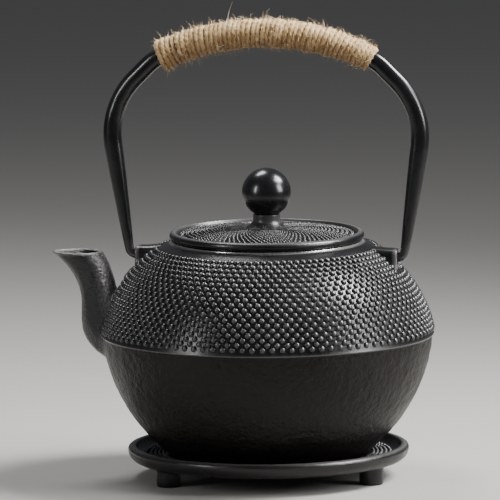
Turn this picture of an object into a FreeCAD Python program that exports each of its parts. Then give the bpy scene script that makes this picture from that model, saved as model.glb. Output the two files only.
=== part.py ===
import FreeCAD, Part
import math
import os
from types import SimpleNamespace

import Sketcher

# Cast iron teapot on its trivet, with a lift-out strainer and a twine-wrapped bail handle.
#
# Millimetres, +Z up.  The origin is on the pot's axis at table level, the spout points along
# -X, and the handle stands upright in the XZ plane, on a hinge that runs along X through two
# lugs on the shoulder.  The pot, lid and strainer are drawn from the pot's own foot (z = 0)
# and are placed on the trivet afterwards.

# ---------------------------------------------------------------- driving dimensions

SIZES = [
    # trivet
    ("trivet_radius", 70.0, "trivet plate, to the outside of its rim"),
    ("trivet_height", 16.5, "table to the top of the rim"),
    ("trivet_dish", 4.5, "depth of the dish inside the rim"),
    ("trivet_plate", 3.0, "thickness of the plate"),
    ("trivet_lip", 4.0, "thickness of the rounded rim"),
    ("trivet_flare", 6.0, "curve under the rim"),
    ("foot_circle", 58.0, "pot axis to the middle of each trivet foot"),
    ("foot_radius", 6.0, "trivet foot"),
    ("foot_edge", 0.8, "rounding at the bottom of each trivet foot"),
    # pot casting
    ("rest_gap", 0.3, "clearance left between pieces that rest on each other"),
    ("belly_radius", 82.2, "widest part of the lower body"),
    ("belly_height", 59.7, "pot foot to the ledge round the belly"),
    ("ledge", 0.6, "how far the upper shell stands out over the lower body"),
    ("base_radius", 48.7, "flat foot of the pot"),
    ("base_ring", 6.0, "width of the ring that the pot stands on"),
    ("base_hollow", 1.5, "depth of the hollow inside that ring"),
    ("flank_arc", 84.0, "radius of the lower body's profile"),
    ("shoulder_arc", 68.0, "radius of the shoulder's profile"),
    ("neck_radius", 54.0, "where the plain band round the mouth begins"),
    ("neck_height", 103.2, "height of that edge above the pot foot"),
    ("mouth_radius", 47.2, "outer edge of the mouth"),
    ("pot_height", 106.5, "pot foot to the mouth rim"),
    ("rim_width", 3.0, "flat on which the lid rests"),
    ("seat_width", 3.0, "ledge on which the strainer hangs"),
    ("seat_depth", 1.5, "rim to that ledge"),
    ("seat_thick", 3.0, "iron under that ledge"),
    ("wall", 3.0, "iron of the pot"),
    ("floor_thick", 4.0, "iron of the pot's floor"),
    # spout
    ("spout_reach", 108.6, "pot axis to the spout's lip"),
    ("spout_drop", 6.7, "pot rim down to the spout's mouth"),
    ("spout_mouth", 25.0, "length of the spout's mouth, lip to heel"),
    ("spout_width", 20.0, "width of the spout's mouth"),
    ("spout_root_width", 27.0, "width of the spout where it joins the belly"),
    ("spout_keel_drop", 14.7, "belly ledge down to where the spout's keel meets the pot"),
    ("spout_crest_rise", 15.4, "belly ledge up to where the spout's crest is buried"),
    ("spout_wall", 2.2, "iron of the spout at its mouth"),
    # lugs and handle
    ("lug_width", 11.0, "lug, across the handle's hinge"),
    ("lug_stand", 5.8, "lug face beyond the shoulder at the hinge"),
    ("lug_cover", 4.4, "hinge axis to the top of the lug"),
    ("lug_corner", 3.0, "rounding along the top of the lug"),
    ("hinge_drop", 4.5, "neck edge down to the hinge axis"),
    ("pin_radius", 2.5, "handle's hooked ends"),
    ("pin_play", 0.5, "radial clearance of the hooks in the lugs"),
    ("hook_arc", 3.5, "bend between each leg and its hooked end"),
    ("leg_gap", 3.1, "lug face to the middle of the leg at the hinge"),
    ("handle_spread", 8.4, "how far the legs bow out beyond their feet"),
    ("handle_rise", 111.2, "hinge axis to the middle of the grip"),
    ("grip_arc", 121.0, "radius of the grip's curve"),
    ("grip_angle", 26.0, "half of the grip, in degrees"),
    ("grip_bend", 22.0, "bend of the bar at each end of the grip"),
    ("link_angle", 45.0, "slope of the bar between that bend and the corner, in degrees"),
    ("corner_arc", 40.0, "bend of the bar at each corner"),
    ("bar_radius", 4.6, "handle bar under the grip"),
    ("wrap_thick", 2.6, "twine round the grip"),
    # lid and knob
    ("lid_overhang", 1.2, "lid beyond the mouth's outer edge"),
    ("lid_rim", 4.3, "height of the lid's rim"),
    ("lid_rim_width", 4.0, "width of the lid's rim"),
    ("lid_field", 1.9, "height of the sunk field at the rim"),
    ("lid_rise", 4.0, "rise of the field from the rim to the boss"),
    ("lid_arc", 160.0, "radius of the field's profile"),
    ("lid_plate", 2.6, "iron of the lid"),
    ("skirt_depth", 7.0, "locating ring under the lid"),
    ("skirt_wall", 2.5, "iron of that ring"),
    ("skirt_play", 0.5, "clearance of that ring in the strainer"),
    ("boss_radius", 11.0, "foot of the boss under the knob"),
    ("boss_height", 12.9, "lid seat to the top of the boss"),
    ("boss_flare", 3.5, "height of the boss's flare"),
    ("neck_of_boss", 6.75, "radius of the boss under the knob"),
    ("knob_radius", 12.25, "ball knob"),
    ("knob_lift", 10.7, "flat under the ball to the middle of the ball"),
    ("stud_radius", 2.5, "stud that holds the knob"),
    ("stud_play", 0.2, "clearance of the stud in the lid"),
    ("stud_grip", 12.0, "stud inside the ball"),
    ("stud_tail", 1.0, "stud beyond the nut"),
    ("washer_radius", 5.5, "washer under the lid"),
    ("washer_thick", 1.0, "washer"),
    ("nut_flats", 8.0, "nut, across flats"),
    ("nut_thick", 4.0, "nut"),
    ("land_margin", 2.5, "flat under the lid beyond the washer"),
    # strainer
    ("strainer_play", 0.5, "flange of the strainer inside the pot's rim"),
    ("sheet", 0.6, "steel sheet of the strainer's rim and base band"),
    ("flange_thick", 1.0, "rolled flange of the strainer"),
    ("mesh", 0.5, "thickness of the wire mesh"),
    ("collar_height", 8.0, "band under the flange"),
    ("throat_play", 3.0, "band of the strainer inside the pot's throat"),
    ("strainer_depth", 62.0, "flange to the bottom of the strainer"),
    ("band_height", 5.0, "crimped band round the base"),
]


class Size:
    """A number that keeps the sheet expression it came from, so it can be drawn and bound."""

    def __init__(self, value, text):
        self.value = value
        self.text = text

    def __add__(self, other):
        return combine(self, "+", other, self.value + value_of(other))

    def __sub__(self, other):
        return combine(self, "-", other, self.value - value_of(other))

    def __mul__(self, other):
        return combine(self, "*", other, self.value * value_of(other))

    def __truediv__(self, other):
        return combine(self, "/", other, self.value / value_of(other))

    def __neg__(self):
        return Size(-self.value, "(-%s)" % self.text)


def value_of(item):
    return item.value if isinstance(item, Size) else float(item)


def text_of(item):
    return item.text if isinstance(item, Size) else "%r" % float(item)


def combine(left, sign, right, value):
    return Size(value, "(%s %s %s)" % (text_of(left), sign, text_of(right)))


def square_root(size):
    return Size(math.sqrt(size.value), "sqrt(%s)" % size.text)


doc = FreeCAD.newDocument("teapot")
sheet = doc.addObject("Spreadsheet::Sheet", "Sizes")
for row, (alias, number, note) in enumerate(SIZES, start=1):
    sheet.set("A%d" % row, note)
    sheet.set("B%d" % row, "%r" % number)
    sheet.setAlias("B%d" % row, alias)
doc.recompute()
dim = SimpleNamespace(**{
    alias: Size(float(sheet.get(alias)), "Sizes.%s" % alias) for alias, number, note in SIZES})

ZERO = Size(0.0, "0")
TURNS = {"lathe": "XZ_Plane", "flat": "XY_Plane", "side": "YZ_Plane"}
subparts = []


# ---------------------------------------------------------------- drawing helpers

def origin_plane(body, role):
    return [item for item in body.Origin.OriginFeatures if item.Role == role][0]


def add_sketch(body, name, view):
    sketch = body.newObject("Sketcher::SketchObject", name)
    sketch.AttachmentSupport = [(origin_plane(body, TURNS[view]), "")]
    sketch.MapMode = "FlatFace"
    return sketch


def pin(sketch, geometry, end, place):
    """Fix one end of a line or arc at a place given by two sizes."""
    for kind, axis, size in (("DistanceX", -2, place[0]), ("DistanceY", -1, place[1])):
        if size is ZERO:
            sketch.addConstraint(Sketcher.Constraint("PointOnObject", geometry, end, axis))
            continue
        index = sketch.addConstraint(
            Sketcher.Constraint(kind, -1, 1, geometry, end, size.value))
        sketch.setExpression("Constraints[%d]" % index, size.text)


def arc_centre(start, end, radius, side):
    """Middle of the arc from start to end; side is +1 for counter-clockwise, -1 for clockwise."""
    half_x = (end[0] - start[0]) / 2
    half_y = (end[1] - start[1]) / 2
    half_chord = half_x * half_x + half_y * half_y
    stand_off = square_root((radius * radius - half_chord) / half_chord) * side
    return start[0] + half_x - half_y * stand_off, start[1] + half_y + half_x * stand_off


def draw_outline(sketch, corners):
    """Closed outline.  A corner is (x, y), or (x, y, radius, side) when an arc leads to it."""
    ends = []
    for number, corner in enumerate(corners):
        start = corners[number - 1][:2]
        end = corner[:2]
        first = FreeCAD.Vector(start[0].value, start[1].value, 0)
        last = FreeCAD.Vector(end[0].value, end[1].value, 0)
        if len(corner) == 2:
            line = sketch.addGeometry(Part.LineSegment(first, last), False)
            ends.append((line, 1, 2))
            continue
        radius, side = corner[2:]
        middle = arc_centre(start, end, radius, side)
        centre = FreeCAD.Vector(middle[0].value, middle[1].value, 0)
        circle = Part.Circle(centre, FreeCAD.Vector(0, 0, 1), radius.value)
        angles = [math.atan2(point.y - centre.y, point.x - centre.x) for point in (first, last)]
        if side < 0:
            angles.reverse()
        if angles[1] < angles[0]:
            angles[1] += 2 * math.pi
        arc = sketch.addGeometry(Part.ArcOfCircle(circle, *angles), False)
        index = sketch.addConstraint(Sketcher.Constraint("Radius", arc, radius.value))
        sketch.setExpression("Constraints[%d]" % index, radius.text)
        ends.append((arc, 1, 2) if side > 0 else (arc, 2, 1))
    for number, (geometry, first_end, last_end) in enumerate(ends):
        after = ends[(number + 1) % len(ends)]
        sketch.addConstraint(
            Sketcher.Constraint("Coincident", geometry, last_end, after[0], after[1]))
        pin(sketch, geometry, last_end, corners[number][:2])


def new_body(name, height=ZERO):
    body = doc.addObject("PartDesign::Body", name)
    body.Label = name
    if height is not ZERO:
        body.setExpression("Placement.Base.z", height.text)
    return body


def lathe_body(name, corners, height=ZERO):
    """A body turned about the pot's axis from an outline of (radius, height) corners."""
    body = new_body(name, height)
    sketch = add_sketch(body, name + "_profile", "lathe")
    draw_outline(sketch, corners)
    turn = body.newObject("PartDesign::Revolution", name + "_turn")
    turn.Profile = sketch
    turn.ReferenceAxis = (sketch, ["V_Axis"])
    turn.Angle = 360
    return body


def cut(name, base, tool):
    result = doc.addObject("Part::Cut", name)
    result.Label = name
    result.Base = base
    result.Tool = tool
    return result


def free_shape(name, shape, height):
    """A piece that no sketch or primitive fits: its shape is made with Part's own functions."""
    piece = doc.addObject("Part::Feature", name)
    piece.Label = name
    piece.Shape = shape
    piece.Placement = FreeCAD.Placement(FreeCAD.Vector(0, 0, height.value), FreeCAD.Rotation())
    return piece


# ---------------------------------------------------------------- trivet

def trivet():
    """A dished iron plate with a rounded rim, on three short round feet."""
    top = dim.trivet_height
    plate_top = top - dim.trivet_dish
    underside = plate_top - dim.trivet_plate
    lip_inside = dim.trivet_radius - dim.trivet_lip
    lip_round = dim.trivet_lip / 2
    return lathe_body("trivet_plate", [
        (ZERO, underside),
        (lip_inside, underside),
        (dim.trivet_radius, top - lip_round, dim.trivet_flare, 1),
        (dim.trivet_radius - lip_round, top, lip_round, 1),
        (lip_inside, top),
        (lip_inside - dim.trivet_dish, plate_top, dim.trivet_dish, -1),
        (ZERO, plate_top),
    ])


def trivet_foot(name, angle):
    body = new_body(name)
    body.setExpression("Placement.Base.x", "Sizes.foot_circle * cos(%r deg)" % angle)
    body.setExpression("Placement.Base.y", "Sizes.foot_circle * sin(%r deg)" % angle)
    sketch = add_sketch(body, name + "_round", "flat")
    circle = Part.Circle(FreeCAD.Vector(0, 0, 0), FreeCAD.Vector(0, 0, 1), dim.foot_radius.value)
    ring = sketch.addGeometry(circle, False)
    sketch.addConstraint(Sketcher.Constraint("Coincident", ring, 3, -1, 1))
    index = sketch.addConstraint(Sketcher.Constraint("Radius", ring, dim.foot_radius.value))
    sketch.setExpression("Constraints[%d]" % index, dim.foot_radius.text)
    pad = body.newObject("PartDesign::Pad", name + "_pad")
    pad.Profile = sketch
    pad.setExpression("Length", (dim.trivet_height - dim.trivet_dish - dim.trivet_plate).text)
    doc.recompute()
    edge = body.newObject("PartDesign::Chamfer", name + "_edge")
    edge.Base = (pad, [bottom_edge(pad.Shape)])
    edge.setExpression("Size", dim.foot_edge.text)
    return body


def bottom_edge(shape):
    """Name of the round edge that lies lowest."""
    rounds = [(edge.BoundBox.ZMax, index) for index, edge in enumerate(shape.Edges, start=1)
              if isinstance(edge.Curve, Part.Circle)]
    return "Edge%d" % min(rounds)[1]


# ---------------------------------------------------------------- pot casting

pot_seat = dim.trivet_height - dim.trivet_dish + dim.rest_gap
shell_radius = dim.belly_radius + dim.ledge
throat_radius = dim.mouth_radius - dim.rim_width - dim.seat_width
shoulder_start = (shell_radius, dim.belly_height)
shoulder_end = (dim.neck_radius, dim.neck_height)
shoulder_middle = arc_centre(shoulder_start, shoulder_end, dim.shoulder_arc, 1)
flank_middle = arc_centre(
    (dim.base_radius, ZERO), (dim.belly_radius, dim.belly_height), dim.flank_arc, 1)


def shoulder_radius(height):
    """Radius of the shoulder's outside at a height above the pot's foot."""
    rise = height - shoulder_middle[1]
    return shoulder_middle[0] + square_root(dim.shoulder_arc * dim.shoulder_arc - rise * rise)


def flank_radius(height):
    """Radius of the lower body's outside at a height above the pot's foot."""
    rise = height - flank_middle[1]
    return flank_middle[0] + square_root(dim.flank_arc * dim.flank_arc - rise * rise)


def pot_outside():
    """Outline of the casting's outside, from its foot to the edge of the mouth."""
    return [
        (dim.base_radius, ZERO),
        (dim.belly_radius, dim.belly_height, dim.flank_arc, 1),
        (shell_radius, dim.belly_height),
        (dim.neck_radius, dim.neck_height, dim.shoulder_arc, 1),
        (dim.mouth_radius, dim.pot_height),
    ]


def pot_shell():
    """The hollow casting: foot ring, flanks, ledge, shoulder, mouth and strainer seat."""
    seat = dim.pot_height - dim.seat_depth
    under_seat = seat - dim.seat_thick
    inner_belly = dim.belly_radius - dim.wall
    ring_inside = dim.base_radius - dim.base_ring
    inner_neck = dim.neck_radius - dim.wall / 2
    return lathe_body("pot_shell", [
        (ZERO, dim.base_hollow),
        (ring_inside - dim.base_hollow, dim.base_hollow),
        (ring_inside, ZERO),
    ] + pot_outside() + [
        (dim.mouth_radius - dim.rim_width, dim.pot_height),
        (dim.mouth_radius - dim.rim_width, seat),
        (throat_radius, seat),
        (throat_radius, under_seat),
        (inner_neck, dim.neck_height - dim.wall),
        (inner_belly, dim.belly_height, dim.shoulder_arc - dim.wall, -1),
        (dim.base_radius, dim.floor_thick, dim.flank_arc - dim.wall, -1),
        (ZERO, dim.floor_thick),
    ], pot_seat)


def pot_solid():
    """The same outside without the hollow: it trims what is cast on to the pot."""
    return lathe_body(
        "pot_solid", [(ZERO, ZERO)] + pot_outside() + [(ZERO, dim.pot_height)], pot_seat)


# ---------------------------------------------------------------- spout

SPOUT_STATIONS = 8                    # sections along the spout
SECTION_STEPS = 6                     # spans of the curve round half a section
BURIED_SHARE = 1.08                   # the last section lies this far along, inside the pot
BURIED_DEPTH = 0.9                    # depth of the crest's end in the pot's wall, as a share
WIDENING = 1.5                        # power of the spout's growth in width towards the pot
LIP_SLOPE = math.radians(38.6)        # fall of the keel at the lip, and where it meets the pot
KEEL_SLOPE = math.radians(30.7)
LIP_PULL, KEEL_PULL = 0.63, 0.55      # how far those two slopes reach into the keel's curve
SWELL_OUT, SWELL_UP = 0.35, 0.73      # middle of the crest's curve, as shares of its heel
EGG_SHAPE = 0.28                      # 0 is an ellipse; more narrows the keel side
BORE_GROWTH = 1.4                     # thickening of the iron from the mouth to the root


def bezier_point(poles, share):
    """Point of a Bezier curve; a share over 1 runs on past its last pole."""
    while len(poles) > 1:
        poles = [first + (after - first) * share for first, after in zip(poles, poles[1:])]
    return poles[0]


def spout_curves():
    """Poles of the two lines that the spout runs between: its keel and its crest."""
    mouth = dim.pot_height.value - dim.spout_drop.value
    lip = FreeCAD.Vector(-dim.spout_reach.value, 0, mouth)
    heel = FreeCAD.Vector(dim.spout_mouth.value - dim.spout_reach.value, 0, mouth)
    keel_height = dim.belly_height - dim.spout_keel_drop
    crest_height = dim.belly_height + dim.spout_crest_rise
    flank = FreeCAD.Vector(-flank_radius(keel_height).value, 0, keel_height.value)
    run = lip.distanceToPoint(flank)
    outward = FreeCAD.Vector(math.cos(LIP_SLOPE), 0, -math.sin(LIP_SLOPE))
    inward = FreeCAD.Vector(math.cos(KEEL_SLOPE), 0, -math.sin(KEEL_SLOPE))
    buried_x = BURIED_DEPTH * dim.wall.value - shoulder_radius(crest_height).value
    buried = FreeCAD.Vector(buried_x, 0, crest_height.value)
    swell = FreeCAD.Vector(buried.x + SWELL_OUT * (heel.x - buried.x), 0,
                           buried.z + SWELL_UP * (heel.z - buried.z))
    keel = [lip, lip + outward * (LIP_PULL * run), flank - inward * (KEEL_PULL * run), flank]
    return keel, [heel, swell, buried]


def half_section(keel, crest, half_width, inset):
    """The +Y half of an egg-shaped section, from a keel point to a crest point and back."""
    across = crest - keel
    half_length = across.Length / 2 - inset
    middle = (keel + crest) * 0.5
    along = across.normalize()
    sideways = FreeCAD.Vector(0, 1, 0)
    points = []
    for step in range(SECTION_STEPS + 1):
        angle = math.pi * step / SECTION_STEPS
        egg = math.sin(angle) * (1 - EGG_SHAPE * math.cos(angle))
        points.append(middle - along * (half_length * math.cos(angle))
                      + sideways * (egg * (half_width - inset)))
    side = Part.BSplineCurve()
    side.interpolate(Points=points, InitialTangent=sideways, FinalTangent=-sideways)
    return Part.Wire([side.toShape(), Part.LineSegment(points[-1], points[0]).toShape()])


def spout_loft(wall, growth):
    """Solid through the spout's sections, shrunk by a wall that may grow towards the root."""
    keel, crest = spout_curves()
    mouth_width = dim.spout_width.value / 2
    root_width = dim.spout_root_width.value / 2
    sections = []
    for station in range(SPOUT_STATIONS):
        share = BURIED_SHARE * station / (SPOUT_STATIONS - 1)
        half_width = mouth_width + (root_width - mouth_width) * share ** WIDENING
        sections.append(half_section(bezier_point(keel, share), bezier_point(crest, share),
                                     half_width, wall * (1 + growth * share)))
    half = Part.makeLoft(sections, True, False)
    other = half.mirror(FreeCAD.Vector(0, 0, 0), FreeCAD.Vector(0, 1, 0))
    return half.fuse(other).removeSplitter()


def spout_bore():
    """The channel: it opens above the mouth and runs on through the pot's wall."""
    channel = spout_loft(dim.spout_wall.value, BORE_GROWTH)
    mouth, root = [end_face(channel, highest) for highest in (True, False)]
    above = mouth.extrude(FreeCAD.Vector(0, 0, dim.spout_wall.value))
    inward = FreeCAD.Vector(3 * dim.wall.value, 0, 0)
    return channel.multiFuse([above, root.extrude(inward)])


def end_face(solid, highest):
    """The flat end of a loft that lies highest, or lowest."""
    flats = [face for face in solid.Faces if face.Surface.isPlanar()]
    return sorted(flats, key=lambda face: face.CenterOfMass.z)[-1 if highest else 0]


# ---------------------------------------------------------------- handle and its lugs

hinge_height = dim.neck_height - dim.hinge_drop
lug_face = shoulder_radius(hinge_height) + dim.lug_stand


def lug_block(name, side):
    """A block on the shoulder with a rounded top and a hole for the handle's hooked end."""
    body = new_body(name, pot_seat)
    half = dim.lug_width / 2
    top = hinge_height + dim.lug_cover
    bottom = hinge_height - dim.lug_width
    sketch = add_sketch(body, name + "_shape", "side")
    draw_outline(sketch, [
        (-half, bottom),
        (half, bottom),
        (half, top - dim.lug_corner),
        (half - dim.lug_corner, top, dim.lug_corner, 1),
        (dim.lug_corner - half, top),
        (-half, top - dim.lug_corner, dim.lug_corner, 1),
    ])
    pad = body.newObject("PartDesign::Pad", name + "_pad")
    pad.Profile = sketch
    pad.Reversed = side < 0
    pad.setExpression("Length", lug_face.text)
    hole_sketch = add_sketch(body, name + "_hole_place", "side")
    centre = FreeCAD.Vector(0, hinge_height.value, 0)
    radius = dim.pin_radius + dim.pin_play
    ring = hole_sketch.addGeometry(
        Part.Circle(centre, FreeCAD.Vector(0, 0, 1), radius.value), False)
    pin(hole_sketch, ring, 3, (ZERO, hinge_height))
    index = hole_sketch.addConstraint(Sketcher.Constraint("Radius", ring, radius.value))
    hole_sketch.setExpression("Constraints[%d]" % index, radius.text)
    hole = body.newObject("PartDesign::Pocket", name + "_hole")
    hole.Profile = hole_sketch
    hole.Type = 1
    hole.Reversed = side > 0
    return body


def bail_line():
    """Places on the middle line of the handle's +X half: grip, bend, link, corner, leg, foot."""
    grip = math.radians(dim.grip_angle.value)
    link = math.radians(dim.link_angle.value)
    corner = dim.corner_arc.value
    hinge = FreeCAD.Vector(lug_face.value + dim.leg_gap.value, 0, hinge_height.value)
    top = hinge_height.value + dim.handle_rise.value
    grip_middle = FreeCAD.Vector(0, 0, top - dim.grip_arc.value)
    grip_way = FreeCAD.Vector(math.sin(grip), 0, math.cos(grip))
    link_way = FreeCAD.Vector(math.sin(link), 0, math.cos(link))
    downhill = FreeCAD.Vector(math.cos(link), 0, -math.sin(link))
    bend_middle = grip_middle + grip_way * (dim.grip_arc.value - dim.grip_bend.value)
    link_start = bend_middle + link_way * dim.grip_bend.value
    corner_x = hinge.x + dim.handle_spread.value - corner
    link_length = (corner_x + corner * link_way.x - link_start.x) / downhill.x
    corner_middle = link_start + downhill * link_length - link_way * corner
    reach = hinge.distanceToPoint(corner_middle)
    lean = math.asin(corner / reach) - math.atan2(hinge.x - corner_middle.x,
                                                  corner_middle.z - hinge.z)
    return SimpleNamespace(
        hinge=hinge, grip_middle=grip_middle, bend_middle=bend_middle, link_start=link_start,
        downhill=downhill, link_length=link_length, corner_middle=corner_middle, lean=lean)


def bent_bar(centre, bend, thickness, start, end):
    """Round bar bent in the XZ plane, from a start angle to an end angle above +X."""
    bar = Part.makeTorus(bend, thickness, FreeCAD.Vector(0, 0, 0), FreeCAD.Vector(0, 0, 1),
                         -180, 180, end - start)
    upright = FreeCAD.Rotation(FreeCAD.Vector(1, 0, 0), 90)
    turned = FreeCAD.Rotation(FreeCAD.Vector(0, 0, 1), start)
    bar.Placement = FreeCAD.Placement(centre, upright.multiply(turned))
    return bar


def bail_half():
    """One side of the bar: bend, link, corner, tapered leg, hook bend and hooked end."""
    line = bail_line()
    lean = line.lean
    bar = dim.bar_radius.value
    hook = dim.pin_radius.value
    bend = dim.hook_arc.value
    down = FreeCAD.Vector(-math.sin(lean), 0, -math.cos(lean))
    outward = FreeCAD.Vector(math.cos(lean), 0, -math.sin(lean))
    leg_top = line.corner_middle + outward * dim.corner_arc.value
    tangent = bend * math.tan((math.pi / 2 - lean) / 2)
    leg_bottom = line.hinge - down * tangent
    hook_middle = line.hinge + FreeCAD.Vector(-tangent, 0, bend)
    inner_end = shoulder_radius(hinge_height - dim.pin_radius).value + 2 * dim.rest_gap.value
    link_slope = 90 - dim.link_angle.value
    return [
        bent_bar(line.bend_middle, dim.grip_bend.value, bar, link_slope,
                 90 - dim.grip_angle.value),
        Part.makeCylinder(bar, line.link_length, line.link_start, line.downhill),
        bent_bar(line.corner_middle, dim.corner_arc.value, bar, -math.degrees(lean), link_slope),
        Part.makeCone(bar, hook, leg_top.distanceToPoint(leg_bottom), leg_top, down),
        bent_bar(hook_middle, bend, hook, -90, -math.degrees(lean)),
        Part.makeCylinder(hook, hook_middle.x - inner_end,
                          FreeCAD.Vector(inner_end, 0, hinge_height.value),
                          FreeCAD.Vector(1, 0, 0)),
    ]


def grip_piece(thickness):
    """The grip's own arc, as a round bar of a given thickness."""
    return bent_bar(bail_line().grip_middle, dim.grip_arc.value, thickness,
                    90 - dim.grip_angle.value, 90 + dim.grip_angle.value)


def bail_bar():
    """The whole bar: a grip arc and two mirrored halves, fused into one solid."""
    right = bail_half()
    left = [piece.mirror(FreeCAD.Vector(0, 0, 0), FreeCAD.Vector(1, 0, 0)) for piece in right]
    return grip_piece(dim.bar_radius.value).multiFuse(right + left).removeSplitter()


def grip_sleeve():
    """The twine as one closed sleeve round the grip."""
    twine = dim.bar_radius.value + dim.wrap_thick.value
    return grip_piece(twine).cut(grip_piece(dim.bar_radius.value))


# ---------------------------------------------------------------- lid and knob

lid_seat = pot_seat + dim.pot_height + dim.rest_gap
lid_underside = dim.lid_field + dim.lid_rise - dim.lid_plate
strainer_outside = throat_radius - dim.throat_play
strainer_inside = strainer_outside - dim.sheet - dim.mesh


def lid():
    """Iron lid: rounded rim, sunk field rising to a flared boss, locating ring below."""
    outer = dim.mouth_radius + dim.lid_overhang
    rim_round = dim.lid_rim / 2
    rim_inside = outer - dim.lid_rim_width
    field_top = dim.lid_field + dim.lid_rise
    skirt = strainer_inside - dim.skirt_play
    skirt_inside = skirt - dim.skirt_wall
    hole = dim.stud_radius + dim.stud_play
    land = dim.washer_radius + dim.land_margin
    return lathe_body("lid", [
        (hole, lid_underside),
        (land, lid_underside),
        (skirt_inside, dim.lid_field - dim.lid_plate / 2),
        (skirt_inside, -dim.skirt_depth),
        (skirt, -dim.skirt_depth),
        (skirt, ZERO),
        (outer - rim_round, ZERO),
        (outer, rim_round, rim_round, 1),
        (outer - rim_round, dim.lid_rim, rim_round, 1),
        (rim_inside, dim.lid_field, dim.lid_rim_width, -1),
        (dim.boss_radius, field_top, dim.lid_arc, 1),
        (dim.neck_of_boss, field_top + dim.boss_flare, dim.boss_radius, -1),
        (dim.neck_of_boss, dim.boss_height),
        (hole, dim.boss_height),
    ], lid_seat)


def knob():
    """Cast ball with a flat under it and a blind hole for the stud."""
    flat = square_root(dim.knob_radius * dim.knob_radius - dim.knob_lift * dim.knob_lift)
    top = dim.boss_height + dim.knob_lift + dim.knob_radius
    hole_top = dim.boss_height + dim.stud_grip
    return lathe_body("knob", [
        (dim.stud_radius, dim.boss_height),
        (flat, dim.boss_height),
        (ZERO, top, dim.knob_radius, 1),
        (ZERO, hole_top),
        (dim.stud_radius, hole_top),
    ], lid_seat)


def ring_body(name, inner, outer, bottom, top, height):
    return lathe_body(name, [(inner, bottom), (outer, bottom), (outer, top), (inner, top)], height)


def knob_fixings():
    """Stud through the boss, with its washer and nut under the lid."""
    washer_bottom = lid_underside - dim.washer_thick
    nut_bottom = washer_bottom - dim.nut_thick
    stud_bottom = nut_bottom - dim.stud_tail
    stud_top = dim.boss_height + dim.stud_grip
    stud = lathe_body("knob_stud", [
        (ZERO, stud_bottom), (dim.stud_radius, stud_bottom),
        (dim.stud_radius, stud_top), (ZERO, stud_top)], lid_seat)
    washer = ring_body("knob_washer", dim.stud_radius + dim.stud_play, dim.washer_radius,
                       washer_bottom, lid_underside, lid_seat)
    return [stud, washer, hex_nut("knob_nut", nut_bottom)]


def hex_nut(name, bottom):
    """Six-sided nut drawn from its width across flats, with the stud's hole through it."""
    body = new_body(name, lid_seat + bottom)
    sketch = add_sketch(body, name + "_shape", "flat")
    radius = dim.nut_flats / math.sqrt(3)
    corners = []
    for step in range(6):
        angle = math.radians(60.0 * step + 30.0)
        corners.append((radius * round(math.cos(angle), 12), radius * math.sin(angle)))
    corners = [(ZERO if abs(x.value) < 1e-9 else x, y) for x, y in corners]
    draw_outline(sketch, corners)
    circle = Part.Circle(FreeCAD.Vector(0, 0, 0), FreeCAD.Vector(0, 0, 1), dim.stud_radius.value)
    ring = sketch.addGeometry(circle, False)
    sketch.addConstraint(Sketcher.Constraint("Coincident", ring, 3, -1, 1))
    index = sketch.addConstraint(Sketcher.Constraint("Radius", ring, dim.stud_radius.value))
    sketch.setExpression("Constraints[%d]" % index, dim.stud_radius.text)
    pad = body.newObject("PartDesign::Pad", name + "_pad")
    pad.Profile = sketch
    pad.setExpression("Length", dim.nut_thick.text)
    return body


# ---------------------------------------------------------------- strainer

strainer_seat = dim.pot_height - dim.seat_depth + dim.rest_gap
strainer_bottom = strainer_seat - dim.strainer_depth


def strainer():
    """Lift-out strainer: flanged steel rim, mesh wall and mesh base in a crimped band."""
    sleeve = strainer_outside - dim.sheet
    flange = dim.mouth_radius - dim.rim_width - dim.strainer_play
    flange_top = strainer_seat + dim.flange_thick
    collar_bottom = strainer_seat - dim.collar_height
    base_top = strainer_bottom + dim.sheet
    rim = lathe_body("strainer_rim", [
        (sleeve, collar_bottom), (strainer_outside, collar_bottom),
        (strainer_outside, strainer_seat), (flange, strainer_seat),
        (flange, flange_top), (sleeve, flange_top)], pot_seat)
    wall = ring_body("strainer_wall", sleeve - dim.mesh, sleeve,
                     base_top, strainer_seat, pot_seat)
    base = lathe_body("strainer_base", [
        (ZERO, strainer_bottom), (strainer_outside, strainer_bottom),
        (strainer_outside, strainer_bottom + dim.band_height),
        (sleeve, strainer_bottom + dim.band_height),
        (sleeve, base_top), (ZERO, base_top)], pot_seat)
    return [rim, wall, base]


# ---------------------------------------------------------------- assembly and export

def build():
    subparts.append(trivet())
    for name, angle in (("trivet_foot_left", -140.0), ("trivet_foot_right", -20.0),
                        ("trivet_foot_back", 100.0)):
        subparts.append(trivet_foot(name, angle))
    shell = pot_shell()
    solid = pot_solid()
    doc.recompute()
    bore = free_shape("spout_bore", spout_bore(), pot_seat)
    cast_spout = free_shape("spout_cast", spout_loft(0.0, 0.0), pot_seat)
    subparts.append(cut("pot_body", shell, bore))
    trimmed = cut("spout_trimmed", cast_spout, solid)
    subparts.append(cut("spout", trimmed, bore))
    for name, side in (("lug_spout_side", -1), ("lug_back_side", 1)):
        subparts.append(cut(name, lug_block(name + "_block", side), solid))
    subparts.append(free_shape("handle_bar", bail_bar(), pot_seat))
    subparts.append(free_shape("handle_wrap", grip_sleeve(), pot_seat))
    subparts.extend([lid(), knob()])
    subparts.extend(knob_fixings())
    subparts.extend(strainer())
    doc.recompute()


def check():
    """Stop if any object failed to compute or any piece is not one sound solid."""
    for item in doc.Objects:
        if set(item.State) & {"Invalid", "Error"}:
            raise RuntimeError("%s did not compute: %s" % (item.Name, item.State))
    for piece in subparts:
        if piece.Shape.isNull() or not piece.Shape.isValid():
            raise RuntimeError("%s has no sound shape" % piece.Label)
        if len(piece.Shape.Solids) != 1:
            raise RuntimeError("%s has %d solids" % (piece.Label, len(piece.Shape.Solids)))


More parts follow.
